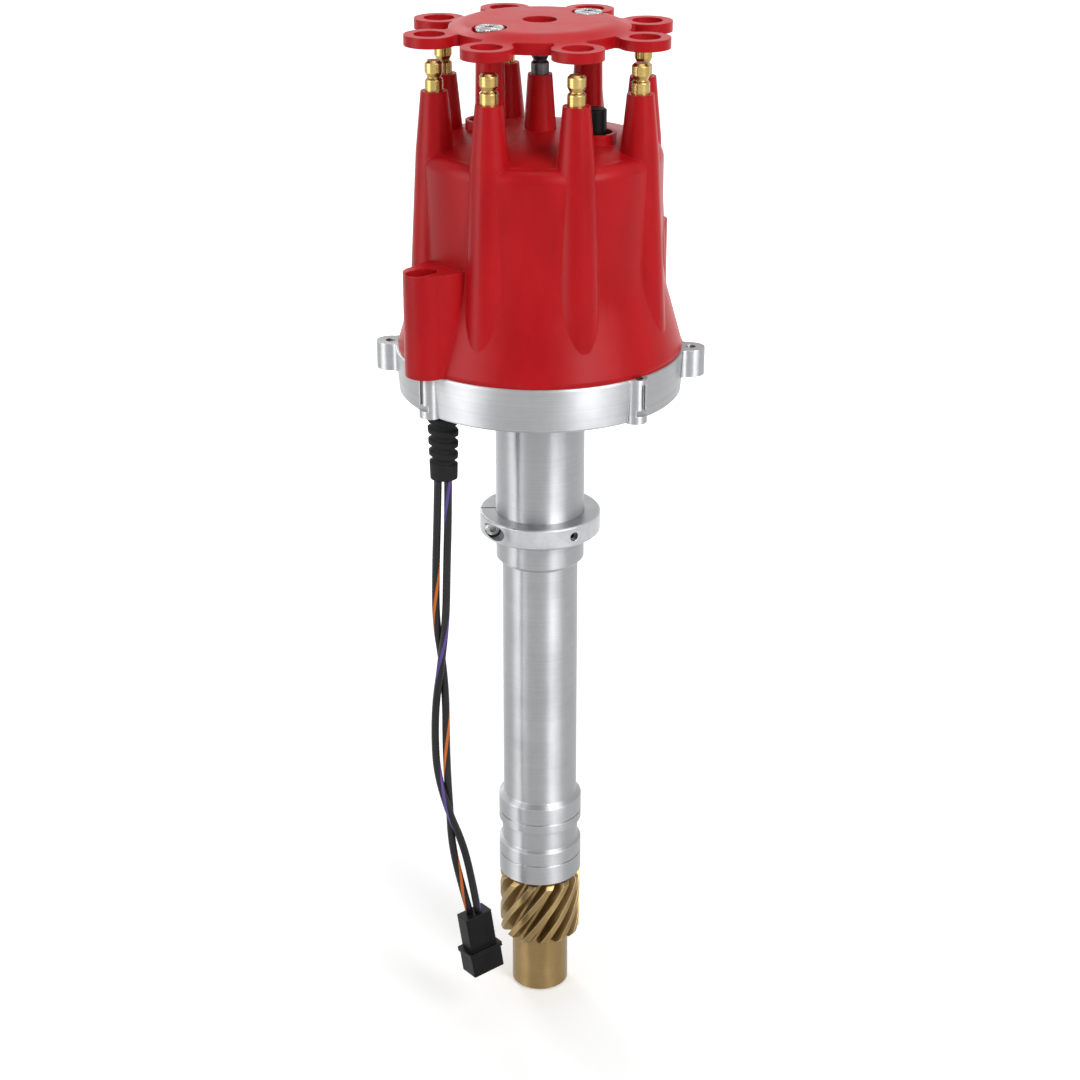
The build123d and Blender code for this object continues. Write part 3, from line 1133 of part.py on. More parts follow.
with BuildPart() as cap_screws:
    for angle in BOSS_ANGLES:
        with Locations(around(CAP_SCREW_PITCH_R, angle, CAP_SCREW_SEAT)):
            Cylinder(
                CAP_SCREW_HEAD_R, CAP_SCREW_HEAD_HEIGHT,
                align=(Align.CENTER, Align.CENTER, Align.MIN),
            )
            Cylinder(
                CAP_SCREW_R, CAP_SCREW_SEAT - BOWL_TOP + CAP_SCREW_REACH,
                align=(Align.CENTER, Align.CENTER, Align.MAX),
            )
        with Locations(level(angle, CAP_SCREW_SEAT + CAP_SCREW_HEAD_HEIGHT, CAP_SCREW_PITCH_R)):
            Box(
                2 * CAP_SCREW_HEAD_R, CONTACT_THICKNESS, CAP_SCREW_HEAD_HEIGHT,
                mode=Mode.SUBTRACT,
            )
save(cap_screws, "cap_screws")

with BuildPart() as vent_plug:
    with BuildSketch(upright(VENT_ANGLE)):
        Polygon(
            (VENT_PITCH_R, CAP_CEILING_CORNER + CAP_WALL),
            (VENT_PITCH_R + VENT_STEM_R, CAP_CEILING_CORNER + CAP_WALL),
            (VENT_PITCH_R + VENT_STEM_R, CAP_CROWN),
            (VENT_PITCH_R + VENT_R, CAP_CROWN),
            (VENT_PITCH_R + VENT_R, VENT_TOP - EDGE_BREAK),
            (VENT_PITCH_R + VENT_R - EDGE_BREAK, VENT_TOP),
            (VENT_PITCH_R, VENT_TOP),
            align=None,
        )
    revolve(axis=Axis(around(VENT_PITCH_R, VENT_ANGLE), (0, 0, 1)))
save(vent_plug, "vent_plug")

# Wire retainer: a low dome that drops to a ring of loops, one over each tower
with BuildPart() as wire_retainer:
    with BuildSketch(Plane.XZ):
        with BuildLine():
            Polyline((0, RETAINER_TOP), (RETAINER_FLAT_R, RETAINER_TOP))
            Spline(
                (RETAINER_FLAT_R, RETAINER_TOP),
                (RETAINER_DISC_R + LOOP_R / 3, LOOP_TOP),
                tangents=[(1, 0), (1, 0)],
            )
            Polyline(
                (RETAINER_DISC_R + LOOP_R / 3, LOOP_TOP),
                (LOOP_PITCH_R + LOOP_R + EDGE_BREAK, LOOP_TOP),
                (LOOP_PITCH_R + LOOP_R + EDGE_BREAK, LOOP_BOTTOM),
                (RETAINER_DISC_R, LOOP_BOTTOM),
            )
            Spline(
                (RETAINER_DISC_R, LOOP_BOTTOM),
                (RETAINER_FLAT_R + POST_TOP_R, RETAINER_SEAT),
                tangents=[(-1, 0), (-1, 0)],
            )
            Polyline(
                (RETAINER_FLAT_R + POST_TOP_R, RETAINER_SEAT), (0, RETAINER_SEAT), (0, RETAINER_TOP)
            )
        make_face()
    revolve(axis=Axis.Z)
    with BuildSketch(Plane.XY.offset(LOOP_BOTTOM)):
        Circle(RETAINER_DISC_R)
        for angle in TOWER_ANGLES:
            with Locations(level(angle, 0)):
                with Locations((LOOP_PITCH_R, 0)):
                    Circle(LOOP_R)
                with Locations(((LOOP_PITCH_R + RETAINER_DISC_R) / 2 - LOOP_R / 2, 0)):
                    Rectangle(LOOP_R, LOOP_NECK_WIDTH)
        Circle(RETAINER_HOLE_R, mode=Mode.SUBTRACT)
        for angle in TOWER_ANGLES:
            with Locations(around(LOOP_PITCH_R, angle)):
                Circle(LOOP_HOLE_R, mode=Mode.SUBTRACT)
        for angle in POST_ANGLES:
            with Locations(around(POST_PITCH_R, angle)):
                Circle(RETAINER_SCREW_R + PRESS_GAP, mode=Mode.SUBTRACT)
    extrude(amount=RETAINER_TOP - LOOP_BOTTOM, mode=Mode.INTERSECT)
    for angle in POST_ANGLES:
        with BuildSketch(level(angle, RETAINER_TOP, POST_PITCH_R)):
            Circle(RETAINER_POCKET_R)
        extrude(amount=-RETAINER_POCKET_DEPTH, mode=Mode.SUBTRACT)
save(wire_retainer, "wire_retainer")

with BuildPart() as retainer_screws:
    for angle in POST_ANGLES:
        with Locations(around(POST_PITCH_R, angle, RETAINER_TOP - RETAINER_POCKET_DEPTH)):
            Cylinder(
                RETAINER_SCREW_HEAD_R, RETAINER_SCREW_HEAD_HEIGHT,
                align=(Align.CENTER, Align.CENTER, Align.MIN),
            )
            Cylinder(
                RETAINER_SCREW_R, RETAINER_SCREW_LENGTH,
                align=(Align.CENTER, Align.CENTER, Align.MAX),
            )
        with Locations(
            level(angle, RETAINER_TOP - RETAINER_POCKET_DEPTH + RETAINER_SCREW_HEAD_HEIGHT, POST_PITCH_R)
        ):
            Box(
                2 * RETAINER_SCREW_HEAD_R, CONTACT_THICKNESS, RETAINER_SCREW_HEAD_HEIGHT,
                mode=Mode.SUBTRACT,
            )
save(retainer_screws, "retainer_screws")

# Strain relief: a ribbed rubber sleeve in the bowl's floor, bored for the two wires
RELIEF_PITCH = (RELIEF_LENGTH - RELIEF_COLLAR_HEIGHT - RELIEF_TAIL) / RELIEF_RIBS


def relief_radius(height):
    """The sleeve's outer radius at a height: it narrows evenly downward."""
    share = (RELIEF_TOP - height) / (RELIEF_TOP - RELIEF_BOTTOM)
    return RELIEF_TOP_R + (RELIEF_BOTTOM_R - RELIEF_TOP_R) * share


with BuildPart() as strain_relief:
    with BuildSketch(upright(EXIT_ANGLE)):
        Polygon(
            (EXIT_R, RELIEF_BOTTOM),
            (EXIT_R + RELIEF_BOTTOM_R, RELIEF_BOTTOM),
            (EXIT_R + RELIEF_TOP_R, RELIEF_TOP),
            (EXIT_R + EXIT_HOLE_R - PRESS_GAP, RELIEF_TOP),
            (EXIT_R + EXIT_HOLE_R - PRESS_GAP, BOWL_FLOOR),
            (EXIT_R, BOWL_FLOOR),
            align=None,
        )
    revolve(axis=Axis(around(EXIT_R, EXIT_ANGLE), (0, 0, 1)))
    for rib in range(RELIEF_RIBS):
        groove = RELIEF_TOP - RELIEF_COLLAR_HEIGHT - (rib + 0.5) * RELIEF_PITCH
        with BuildSketch(upright(EXIT_ANGLE)):
            with Locations((EXIT_R + relief_radius(groove), groove)):
                Circle(RELIEF_GROOVE_DEPTH)
        revolve(axis=Axis(around(EXIT_R, EXIT_ANGLE), (0, 0, 1)), mode=Mode.SUBTRACT)
save(strain_relief, "strain_relief")


def corner_radii(points):
    """Arc radii for a route: 0.45 of the shorter run beside each corner, over the tangent of half the turn."""
    radii = []
    for before, here, after in zip(points, points[1:], points[2:]):
        run_in = here - before
        run_out = after - here
        half_turn = math.radians(run_in.get_angle(run_out) / 2)
        radii.append(0.45 * min(run_in.length, run_out.length) / math.tan(half_turn))
    return radii


RELIEF_END = around(EXIT_R, EXIT_ANGLE, RELIEF_BOTTOM)


def wire_tube(route_points, radius):
    """A round tube along straight runs joined by tangent arcs, counted from the relief's end."""
    points = [RELIEF_END + Vector(*point) for point in route_points]
    radii = corner_radii(points)
    with BuildPart() as tube:
        with BuildLine() as route:
            FilletPolyline(*points, radius=radii)
        with BuildSketch(Plane(route.wires()[0] @ 0, z_dir=route.wires()[0] % 0)):
            Circle(radius)
        sweep(path=route.wires()[0])
    print("arc radii", [round(r, 1) for r in radii], "length", round(route.wires()[0].length, 1))
    print("volume", round(tube.part.volume, 1), "section times length",
          round(math.pi * radius**2 * route.wires()[0].length, 1))
    return tube


signal_wire_a = wire_tube(WIRE_A_ROUTE, WIRE_R)
save(signal_wire_a, "signal_wire_a")
signal_wire_b = wire_tube(WIRE_B_ROUTE, WIRE_R)
save(signal_wire_b, "signal_wire_b")

# Connector: a small two-way plug on the wires' lower end
CONNECTOR_AXIS = Vector(
    -math.sin(math.radians(CONNECTOR_TILT)), 0, math.cos(math.radians(CONNECTOR_TILT))
)
CONNECTOR_SIDE = Vector(
    math.cos(math.radians(CONNECTOR_TURN)) * math.cos(math.radians(CONNECTOR_TILT)),
    math.sin(math.radians(CONNECTOR_TURN)),
    math.cos(math.radians(CONNECTOR_TURN)) * math.sin(math.radians(CONNECTOR_TILT)),
)
CONNECTOR_TOP = RELIEF_END + Vector(*CONNECTOR_PLACE)
CONNECTOR_PLANE = Plane(CONNECTOR_TOP, x_dir=CONNECTOR_SIDE, z_dir=CONNECTOR_AXIS * -1)

with BuildPart() as connector_shell:
    with BuildSketch(CONNECTOR_PLANE):
        RectangleRounded(CONNECTOR_WIDTH, CONNECTOR_DEPTH, EDGE_BREAK)
    extrude(amount=CONNECTOR_LENGTH)
    with BuildSketch(CONNECTOR_PLANE.offset(CONNECTOR_BODY_LENGTH)):
        RectangleRounded(
            CONNECTOR_WIDTH + 2 * CONNECTOR_LIP, CONNECTOR_DEPTH + 2 * CONNECTOR_LIP, EDGE_BREAK
        )
    extrude(amount=CONNECTOR_LIP_HEIGHT)
    with BuildSketch(CONNECTOR_PLANE.offset(CONNECTOR_BODY_LENGTH)):
        RectangleRounded(
            CONNECTOR_WIDTH + 2 * CONNECTOR_SHROUD, CONNECTOR_DEPTH + 2 * CONNECTOR_SHROUD, EDGE_BREAK
        )
    extrude(amount=CONNECTOR_LENGTH - CONNECTOR_BODY_LENGTH)
    with BuildSketch(CONNECTOR_PLANE.offset(CONNECTOR_LENGTH)):
        Rectangle(
            CONNECTOR_WIDTH - 2 * CONNECTOR_MOUTH_WALL, CONNECTOR_DEPTH - 2 * CONNECTOR_MOUTH_WALL
        )
    extrude(amount=-CONNECTOR_MOUTH_DEPTH, mode=Mode.SUBTRACT)
save(connector_shell, "connector_shell")

with BuildPart() as connector_pins:
    with BuildSketch(CONNECTOR_PLANE.offset(CONNECTOR_LENGTH - CONNECTOR_MOUTH_DEPTH)):
        with GridLocations(CONNECTOR_PIN_PITCH, 0, 2, 1):
            Circle(CONNECTOR_PIN_R)
    extrude(amount=CONNECTOR_MOUTH_DEPTH - EDGE_BREAK)
save(connector_pins, "connector_pins")
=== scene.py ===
import json
import math

import bpy
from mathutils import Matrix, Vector


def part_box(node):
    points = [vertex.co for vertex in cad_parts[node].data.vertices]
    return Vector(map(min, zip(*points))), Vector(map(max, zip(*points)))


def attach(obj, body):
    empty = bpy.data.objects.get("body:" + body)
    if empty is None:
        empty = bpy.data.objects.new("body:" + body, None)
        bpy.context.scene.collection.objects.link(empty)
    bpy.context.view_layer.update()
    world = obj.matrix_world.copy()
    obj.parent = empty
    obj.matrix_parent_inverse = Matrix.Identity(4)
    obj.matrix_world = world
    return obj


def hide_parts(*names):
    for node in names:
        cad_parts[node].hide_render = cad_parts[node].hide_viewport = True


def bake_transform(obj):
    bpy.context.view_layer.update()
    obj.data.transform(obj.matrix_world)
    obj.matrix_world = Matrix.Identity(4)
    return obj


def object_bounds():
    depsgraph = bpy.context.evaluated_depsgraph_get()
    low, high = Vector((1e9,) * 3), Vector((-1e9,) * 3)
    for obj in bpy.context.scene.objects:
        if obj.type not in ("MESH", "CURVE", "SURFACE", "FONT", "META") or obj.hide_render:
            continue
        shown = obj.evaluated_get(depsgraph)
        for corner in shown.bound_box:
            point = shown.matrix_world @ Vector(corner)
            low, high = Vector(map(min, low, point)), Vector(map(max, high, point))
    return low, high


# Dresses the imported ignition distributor: finishes, striped wires, ridged screws, grooved relief
# and wound springs, and then the floor and the light of the photograph
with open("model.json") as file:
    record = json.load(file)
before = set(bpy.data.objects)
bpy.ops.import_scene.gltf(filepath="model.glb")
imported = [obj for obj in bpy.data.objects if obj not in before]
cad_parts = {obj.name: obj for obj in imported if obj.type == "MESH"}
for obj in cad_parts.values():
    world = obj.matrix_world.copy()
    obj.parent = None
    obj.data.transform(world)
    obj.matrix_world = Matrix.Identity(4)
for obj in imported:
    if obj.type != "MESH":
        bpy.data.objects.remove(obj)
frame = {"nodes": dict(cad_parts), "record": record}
cad_low, cad_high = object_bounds()
scene = bpy.context.scene

# Camera: in front of the shaft's axis, a little to the right, looking down
CAMERA_TURN = math.radians(4.0)
CAMERA_DISTANCE = 0.795
CAMERA_HEIGHT = 0.3354
CAMERA_PITCH = math.radians(23.2)
SENSOR_WIDTH = 36.0
FOCAL_PIXELS = 2300
PICTURE_PIXELS = 1080
CLIP_NEAR = 0.05
CLIP_FAR = 20.0

camera_data = bpy.data.cameras.new("camera")
camera_data.sensor_width = SENSOR_WIDTH
camera_data.lens = FOCAL_PIXELS / PICTURE_PIXELS * SENSOR_WIDTH
camera_data.clip_start = CLIP_NEAR
camera_data.clip_end = CLIP_FAR
camera = bpy.data.objects.new("camera", camera_data)
scene.collection.objects.link(camera)
camera.location = (
    CAMERA_DISTANCE * math.sin(CAMERA_TURN),
    -CAMERA_DISTANCE * math.cos(CAMERA_TURN),
    CAMERA_HEIGHT,
)
look = Vector((
    -math.sin(CAMERA_TURN) * math.cos(CAMERA_PITCH),
    math.cos(CAMERA_TURN) * math.cos(CAMERA_PITCH),
    -math.sin(CAMERA_PITCH),
))
camera.rotation_mode = "QUATERNION"
camera.rotation_quaternion = look.to_track_quat("-Z", "Y")
scene.camera = camera

# Measures that the materials share
UNSTRETCHED = (1.0, 1.0, 1.0)
NOISE_LOW = 0.3
NOISE_HIGH = 0.7
BEVEL_SAMPLES = 4
FLAT_FACE = 0.995
SHARP_EDGE = 0.90
FINE_BUMP = 0.0002
SWELL_BUMP = 0.001
SWELL_STRENGTH = 0.08
RING_WANDER = 6.0
STREAK_SHARE = 0.45
QUARTER_TURN = 0.25
PLASTIC_IOR = 1.5


# Node helpers for the materials
def new_material(name):
    """A material with an empty tree but for its shader, and the tree's parts."""
    material = bpy.data.materials.new(name)
    material.use_nodes = True
    tree = material.node_tree
    return material, tree, tree.nodes["Principled BSDF"]


def add_node(tree, kind, **inputs):
    """A node of that kind with the values of its inputs set by name."""
    node = tree.nodes.new(kind)
    for key, value in inputs.items():
        node.inputs[key.replace("_", " ")].default_value = value
    return node


def link(tree, source, out, target, into):
    """Joins an output of one node to an input of another."""
    tree.links.new(source.outputs[out], target.inputs[into])


def place(tree, scale=UNSTRETCHED):
    """Object coordinates, stretched by a scale for each axis."""
    coordinates = tree.nodes.new("ShaderNodeTexCoord")
    mapping = add_node(tree, "ShaderNodeMapping", Scale=scale)
    link(tree, coordinates, "Object", mapping, "Vector")
    return mapping


def noise(tree, vector, scale, detail, roughness):
    """A noise texture over the coordinates that a node gives."""
    texture = add_node(tree, "ShaderNodeTexNoise", Scale=scale, Detail=detail, Roughness=roughness)
    link(tree, vector, "Vector", texture, "Vector")
    return texture


def ramp(tree, source, low, high, start=0.35, end=0.65):
    """A colour ramp between two colours over part of a noise's range."""
    node = tree.nodes.new("ShaderNodeValToRGB")
    node.color_ramp.elements[0].position = start
    node.color_ramp.elements[0].color = (*low, 1.0)
    node.color_ramp.elements[1].position = end
    node.color_ramp.elements[1].color = (*high, 1.0)
    link(tree, source, "Fac", node, "Fac")
    return node


def map_range(tree, source, out, from_low, from_high, to_low, to_high):
    """A value that goes from one range to another."""
    node = add_node(
        tree, "ShaderNodeMapRange",
        From_Min=from_low, From_Max=from_high, To_Min=to_low, To_Max=to_high,
    )
    link(tree, source, out, node, "Value")
    return node


def spread(tree, source, low, high):
    """A value spread from low to high over the middle of a noise's range."""
    return map_range(tree, source, "Fac", NOISE_LOW, NOISE_HIGH, low, high)


def calculate(tree, operation, first, first_out, second, second_out):
    """The product, maximum or the like of two values."""
    node = tree.nodes.new("ShaderNodeMath")
    node.operation = operation
    link(tree, first, first_out, node, 0)
    link(tree, second, second_out, node, 1)
    return node


def bump(tree, source, strength, distance, before):
    """A bump from a noise, over the normal that the node before it gives."""
    node = add_node(tree, "ShaderNodeBump", Strength=strength, Distance=distance)
    link(tree, source, "Fac", node, "Height")
    link(tree, before, "Normal", node, "Normal")
    return node


def edge_mask(tree, radius):
    """1 on sharp edges and 0 on flat faces, from a bevelled normal set against the true one."""
    bevel = add_node(tree, "ShaderNodeBevel", Radius=radius)
    bevel.samples = BEVEL_SAMPLES
    geometry = tree.nodes.new("ShaderNodeNewGeometry")
    product = tree.nodes.new("ShaderNodeVectorMath")
    product.operation = "DOT_PRODUCT"
    link(tree, bevel, "Normal", product, 0)
    link(tree, geometry, "Normal", product, 1)
    return bevel, map_range(tree, product, "Value", FLAT_FACE, SHARP_EDGE, 0.0, 1.0)


def wear_and_edge_highlight(tree, mask, tone, edge, amount):
    """A tone with the edge's colour mixed over it by the mask times an amount: a lighter colour on
    sharp edges, partly worn and partly a painted highlight.
    """
    scaled = tree.nodes.new("ShaderNodeMath")
    scaled.operation = "MULTIPLY"
    scaled.inputs[1].default_value = amount
    link(tree, mask, "Result", scaled, 0)
    node = add_node(tree, "ShaderNodeMixRGB", Color2=(*edge, 1.0))
    link(tree, scaled, 0, node, "Fac")
    link(tree, tone, "Color", node, "Color1")
    return node


def turned_metal(name, dark, light, rough, lines=2600.0, line_depth=0.10, edge=(0.9, 0.9, 0.9),
                 edge_amount=0.35, spin=0.6):
    """Lathe-turned metal: fine rings across the axis, highlights drawn out along it, cloudy tone,
    bright edges, partly worn and partly a painted highlight."""
    material, tree, shader = new_material(name)
    shader.inputs["Metallic"].default_value = 1.0
    shader.inputs["Anisotropic"].default_value = spin
    shader.inputs["Anisotropic Rotation"].default_value = QUARTER_TURN
    tangent = tree.nodes.new("ShaderNodeTangent")
    tangent.direction_type = "RADIAL"
    tangent.axis = "Z"
    link(tree, tangent, "Tangent", shader, "Tangent")
    ring_place = place(tree, (RING_WANDER, RING_WANDER, lines))
    rings = noise(tree, ring_place, scale=1.0, detail=3.0, roughness=0.6)
    cloud = noise(tree, place(tree), scale=55.0, detail=5.0, roughness=0.6)
    tone = ramp(tree, cloud, dark, light)
    streak = ramp(tree, rings, dark, light, NOISE_LOW, NOISE_HIGH)
    blend = add_node(tree, "ShaderNodeMixRGB", Fac=STREAK_SHARE)
    link(tree, tone, "Color", blend, "Color1")
    link(tree, streak, "Color", blend, "Color2")
    bevel, mask = edge_mask(tree, radius=0.0004)
    link(tree, wear_and_edge_highlight(tree, mask, blend, edge, edge_amount), "Color", shader, "Base Color")
    link(tree, spread(tree, cloud, rough - 0.05, rough + 0.07), "Result", shader, "Roughness")
    link(tree, bump(tree, rings, line_depth, FINE_BUMP, bevel), "Normal", shader, "Normal")
    return material


def plated_metal(name, dark, light, rough, grain=900.0, depth=0.12, edge=(0.85, 0.85, 0.85),
                 edge_amount=0.3):
    """Plated or tumbled metal: fine grain, patchy tone, bright edges, partly worn and partly a painted
    highlight.
    """
    material, tree, shader = new_material(name)
    shader.inputs["Metallic"].default_value = 1.0
    fine = noise(tree, place(tree), scale=grain, detail=3.0, roughness=0.5)
    patch = noise(tree, place(tree), scale=130.0, detail=5.0, roughness=0.65)
    tone = ramp(tree, patch, dark, light)
    bevel, mask = edge_mask(tree, radius=0.0003)
    link(tree, wear_and_edge_highlight(tree, mask, tone, edge, edge_amount), "Color", shader, "Base Color")
    link(tree, spread(tree, patch, rough - 0.06, rough + 0.08), "Result", shader, "Roughness")
    link(tree, bump(tree, fine, depth, FINE_BUMP, bevel), "Normal", shader, "Normal")
    return material


def moulded(name, dark, light, rough, grain=700.0, depth=0.06, edge=(0.8, 0.3, 0.3),
            edge_amount=0.25, shine=0.2, wave=None):
    """Moulded plastic or rubber: slight mottle, fine orange peel, lighter edges partly worn and partly
    a painted highlight, a swell if asked.
    """
    material, tree, shader = new_material(name)
    shader.inputs["IOR"].default_value = PLASTIC_IOR
    shader.inputs["Specular IOR Level"].default_value = shine
    fine = noise(tree, place(tree), scale=grain, detail=3.0, roughness=0.5)
    flow = noise(tree, place(tree, (1.0, 1.0, 0.35)), scale=90.0, detail=5.0, roughness=0.6)
    tone = ramp(tree, flow, dark, light)
    bevel, mask = edge_mask(tree, radius=0.0005)
    link(tree, wear_and_edge_highlight(tree, mask, tone, edge, edge_amount), "Color", shader, "Base Color")
    link(tree, spread(tree, flow, rough - 0.04, rough + 0.06), "Result", shader, "Roughness")
    height = bump(tree, fine, depth, FINE_BUMP, bevel)
    if wave:
        swell = noise(tree, place(tree), scale=wave, detail=2.0, roughness=0.4)
        height = bump(tree, swell, SWELL_STRENGTH, SWELL_BUMP, height)
    link(tree, height, "Normal", shader, "Normal")
    return material


# Metals
aluminium = turned_metal(
    "machined_aluminium", (0.30, 0.303, 0.312), (0.42, 0.424, 0.435), rough=0.42,
    line_depth=0.06, spin=0.92,
)
ground_steel = turned_metal(
    "ground_steel", (0.42, 0.425, 0.43), (0.56, 0.56, 0.57), rough=0.28,
)
bronze = turned_metal(
    "bronze", (0.24, 0.162, 0.066), (0.33, 0.232, 0.108), rough=0.33,
    line_depth=0.06, edge=(0.75, 0.58, 0.34), edge_amount=0.5, spin=0.9,
)
brass = turned_metal(
    "brass", (0.30, 0.205, 0.062), (0.46, 0.335, 0.125), rough=0.24,
    lines=3200.0, edge=(0.75, 0.62, 0.36),
)
zinc = plated_metal(
    "zinc_grey", (0.34, 0.352, 0.36), (0.45, 0.463, 0.471), rough=0.34,
)
bright_steel = plated_metal(
    "bright_steel", (0.27, 0.27, 0.27), (0.40, 0.40, 0.40), rough=0.3, edge=(0.6, 0.6, 0.6),
)
dark_steel = plated_metal(
    "dark_steel", (0.05, 0.05, 0.052), (0.11, 0.11, 0.115), rough=0.38, edge=(0.3, 0.3, 0.3),
)
sintered = plated_metal(
    "sintered_bronze", (0.26, 0.20, 0.10), (0.36, 0.29, 0.16), rough=0.5, grain=1600.0,
)

# Plastics, rubber and carbon
red = moulded(
    "red_plastic", (0.47, 0.006, 0.010), (0.55, 0.009, 0.013), rough=0.33,
    edge=(0.66, 0.05, 0.06), shine=0.12, wave=45.0,
)
black = moulded(
    "black_plastic", (0.006, 0.006, 0.0065), (0.011, 0.011, 0.0115), rough=0.38,
    edge=(0.04, 0.04, 0.04), shine=0.1,
)
rubber = moulded(
    "black_rubber", (0.010, 0.010, 0.010), (0.018, 0.018, 0.018), rough=0.62,
    grain=1200.0, depth=0.2, edge=(0.04, 0.04, 0.04), shine=0.12,
)
rotor_black = moulded(
    "rotor_plastic", (0.015, 0.015, 0.016), (0.03, 0.03, 0.03), rough=0.45,
    edge=(0.08, 0.08, 0.08),
)
carbon = moulded(
    "carbon", (0.02, 0.02, 0.02), (0.045, 0.045, 0.045), rough=0.5, edge=(0.1, 0.1, 0.1),
)
insulation = moulded(
    "wire_black", (0.012, 0.012, 0.012), (0.022, 0.022, 0.022), rough=0.35,
    edge=(0.03, 0.03, 0.03),
)
orange = moulded(
    "wire_orange_stripe", (0.62, 0.13, 0.02), (0.75, 0.19, 0.03), rough=0.4,
    edge=(0.8, 0.3, 0.1),
)
violet = moulded(
    "wire_violet_stripe", (0.10, 0.06, 0.29), (0.16, 0.10, 0.40), rough=0.4,
    edge=(0.24, 0.16, 0.5),
)

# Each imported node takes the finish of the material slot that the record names
finishes = {
    "machined_aluminium": aluminium,
    "zinc_grey": zinc,
    "bright_steel": bright_steel,
    "dark_steel": dark_steel,
    "ground_steel": ground_steel,
    "bronze": bronze,
    "sintered_bronze": sintered,
    "brass": brass,
    "red_plastic": red,
    "black_plastic": black,
    "rotor_plastic": rotor_black,
    "black_rubber": rubber,
    "carbon": carbon,
    "wire_orange": insulation,
    "wire_violet": insulation,
}
for part in frame["record"]["subparts"]:
    node_object = frame["nodes"].get(part["node"])
    if node_object is not None and node_object.type == "MESH":
        node_object.data.materials.clear()
        node_object.data.materials.append(finishes[part["material_slot"]])


# Mesh helpers for the pieces
def new_piece(name, vertices, faces, *materials):
    """An object in the scene, made of points, faces and materials."""
    mesh = bpy.data.meshes.new(name)
    mesh.from_pydata([tuple(v) for v in vertices], [], faces)
    for material in materials:
        mesh.materials.append(material)
    piece = bpy.data.objects.new(name, mesh)
    scene.collection.objects.link(piece)
    return piece


def ring_faces(rows, sides, downward=False):
    """Faces between rings of points and over both ends, for rings along a line or downward."""
    faces = []
    for row in range(rows - 1):
        for k in range(sides):
            a = row * sides + k
            b = row * sides + (k + 1) % sides
            faces.append((a, a + sides, b + sides, b) if downward else (a, b, b + sides, a + sides))
    first = tuple(range(sides))
    last = tuple((rows - 1) * sides + k for k in range(sides))
    return faces + ([first, last[::-1]] if downward else [first[::-1], last])


def smooth_sides(piece, level_limit=math.inf):
    """Smooth shading on faces of four corners, but for those whose normals stand nearly upright."""
    for face in piece.data.polygons:
        face.use_smooth = len(face.vertices) == 4 and abs(face.normal.z) < level_limit


def around(centre, angle, radius, height):
    """The point at an angle and a radius round an upright axis, at a height."""
    return (centre[0] + radius * math.cos(angle), centre[1] + radius * math.sin(angle), height)


def tube_points(line, side, radius, sides, starts):
    """Rings of points round a line. Each starts at its own angle from a side that the line carries."""
    last = len(line) - 1
    vertices = []
    for i, centre in enumerate(line):
        tangent = (line[min(i + 1, last)] - line[max(i - 1, 0)]).normalized()
        side = (side - tangent * side.dot(tangent)).normalized()
        up = tangent.cross(side)
        for k in range(sides):
            angle = starts[i] + k / sides * 2 * math.pi
            vertices.append(centre + (side * math.cos(angle) + up * math.sin(angle)) * radius)
    return vertices


# Signal wires: striped tubes along the same points as the CAD tubes
WIRE_RADIUS = 0.00145
WIRE_SIDES = 24
LINE_STEPS = 10
STRIPE_SIDES = 3
STRIPE_PITCH = 0.062
VIOLET_FACES_FRONT_AT = 0.007
ORANGE_FACES_FRONT_AT = 0.0473
WIRE_A_ROUTE = [
    (-0.0307, -0.0324, 0.03185), (-0.0308, -0.0332, 0.0175), (-0.0316, -0.0334, -0.003),
    (-0.0322, -0.0336, -0.024), (-0.0342, -0.0359, -0.042), (-0.0366, -0.0337, -0.058),
    (-0.0372, -0.0336, -0.0735), (-0.0366, -0.0334, -0.088), (-0.0323, -0.0358, -0.103),
    (-0.0272, -0.0331, -0.1185), (-0.024, -0.033, -0.1345), (-0.0219, -0.0326, -0.1488),
]
WIRE_B_ROUTE = [
    (-0.0343, -0.0327, 0.03185), (-0.0347, -0.0335, 0.017), (-0.0356, -0.0336, -0.0035),
    (-0.036, -0.0335, -0.0245), (-0.034, -0.0311, -0.0425), (-0.0328, -0.0333, -0.0575),
    (-0.033, -0.0334, -0.073), (-0.0327, -0.0337, -0.0885), (-0.0324, -0.0309, -0.1035),
    (-0.0316, -0.0334, -0.118), (-0.0288, -0.0328, -0.134), (-0.0251, -0.0329, -0.14915),
]


def smooth_line(name, points):
    """The points of a smooth NURBS line that has these as its control points."""
    curve = bpy.data.curves.new(name, "CURVE")
    curve.dimensions = "3D"
    curve.resolution_u = LINE_STEPS
    spline = curve.splines.new("NURBS")
    spline.points.add(len(points) - 1)
    for point, place_at in zip(spline.points, points):
        point.co = (*place_at, 1.0)
    spline.order_u = 3
    spline.use_endpoint_u = True
    holder = bpy.data.objects.new(name, curve)
    scene.collection.objects.link(holder)
    line = bpy.data.meshes.new_from_object(holder)
    result = [v.co.copy() for v in line.vertices]
    bpy.data.objects.remove(holder)
    bpy.data.curves.remove(curve)
    bpy.data.meshes.remove(line)
    return result


def stripe_starts(line, front_at):
    """The angle where each ring's stripe starts, so that it winds, and faces the front at a run."""
    half_stripe = STRIPE_SIDES / 2 / WIRE_SIDES * 2 * math.pi
    starts, run = [], 0.0
    for i, centre in enumerate(line):
        if i:
            run += (centre - line[i - 1]).length
        twist = (run - front_at) / STRIPE_PITCH * 2 * math.pi + math.pi / 2
        starts.append(twist - half_stripe)
    return starts


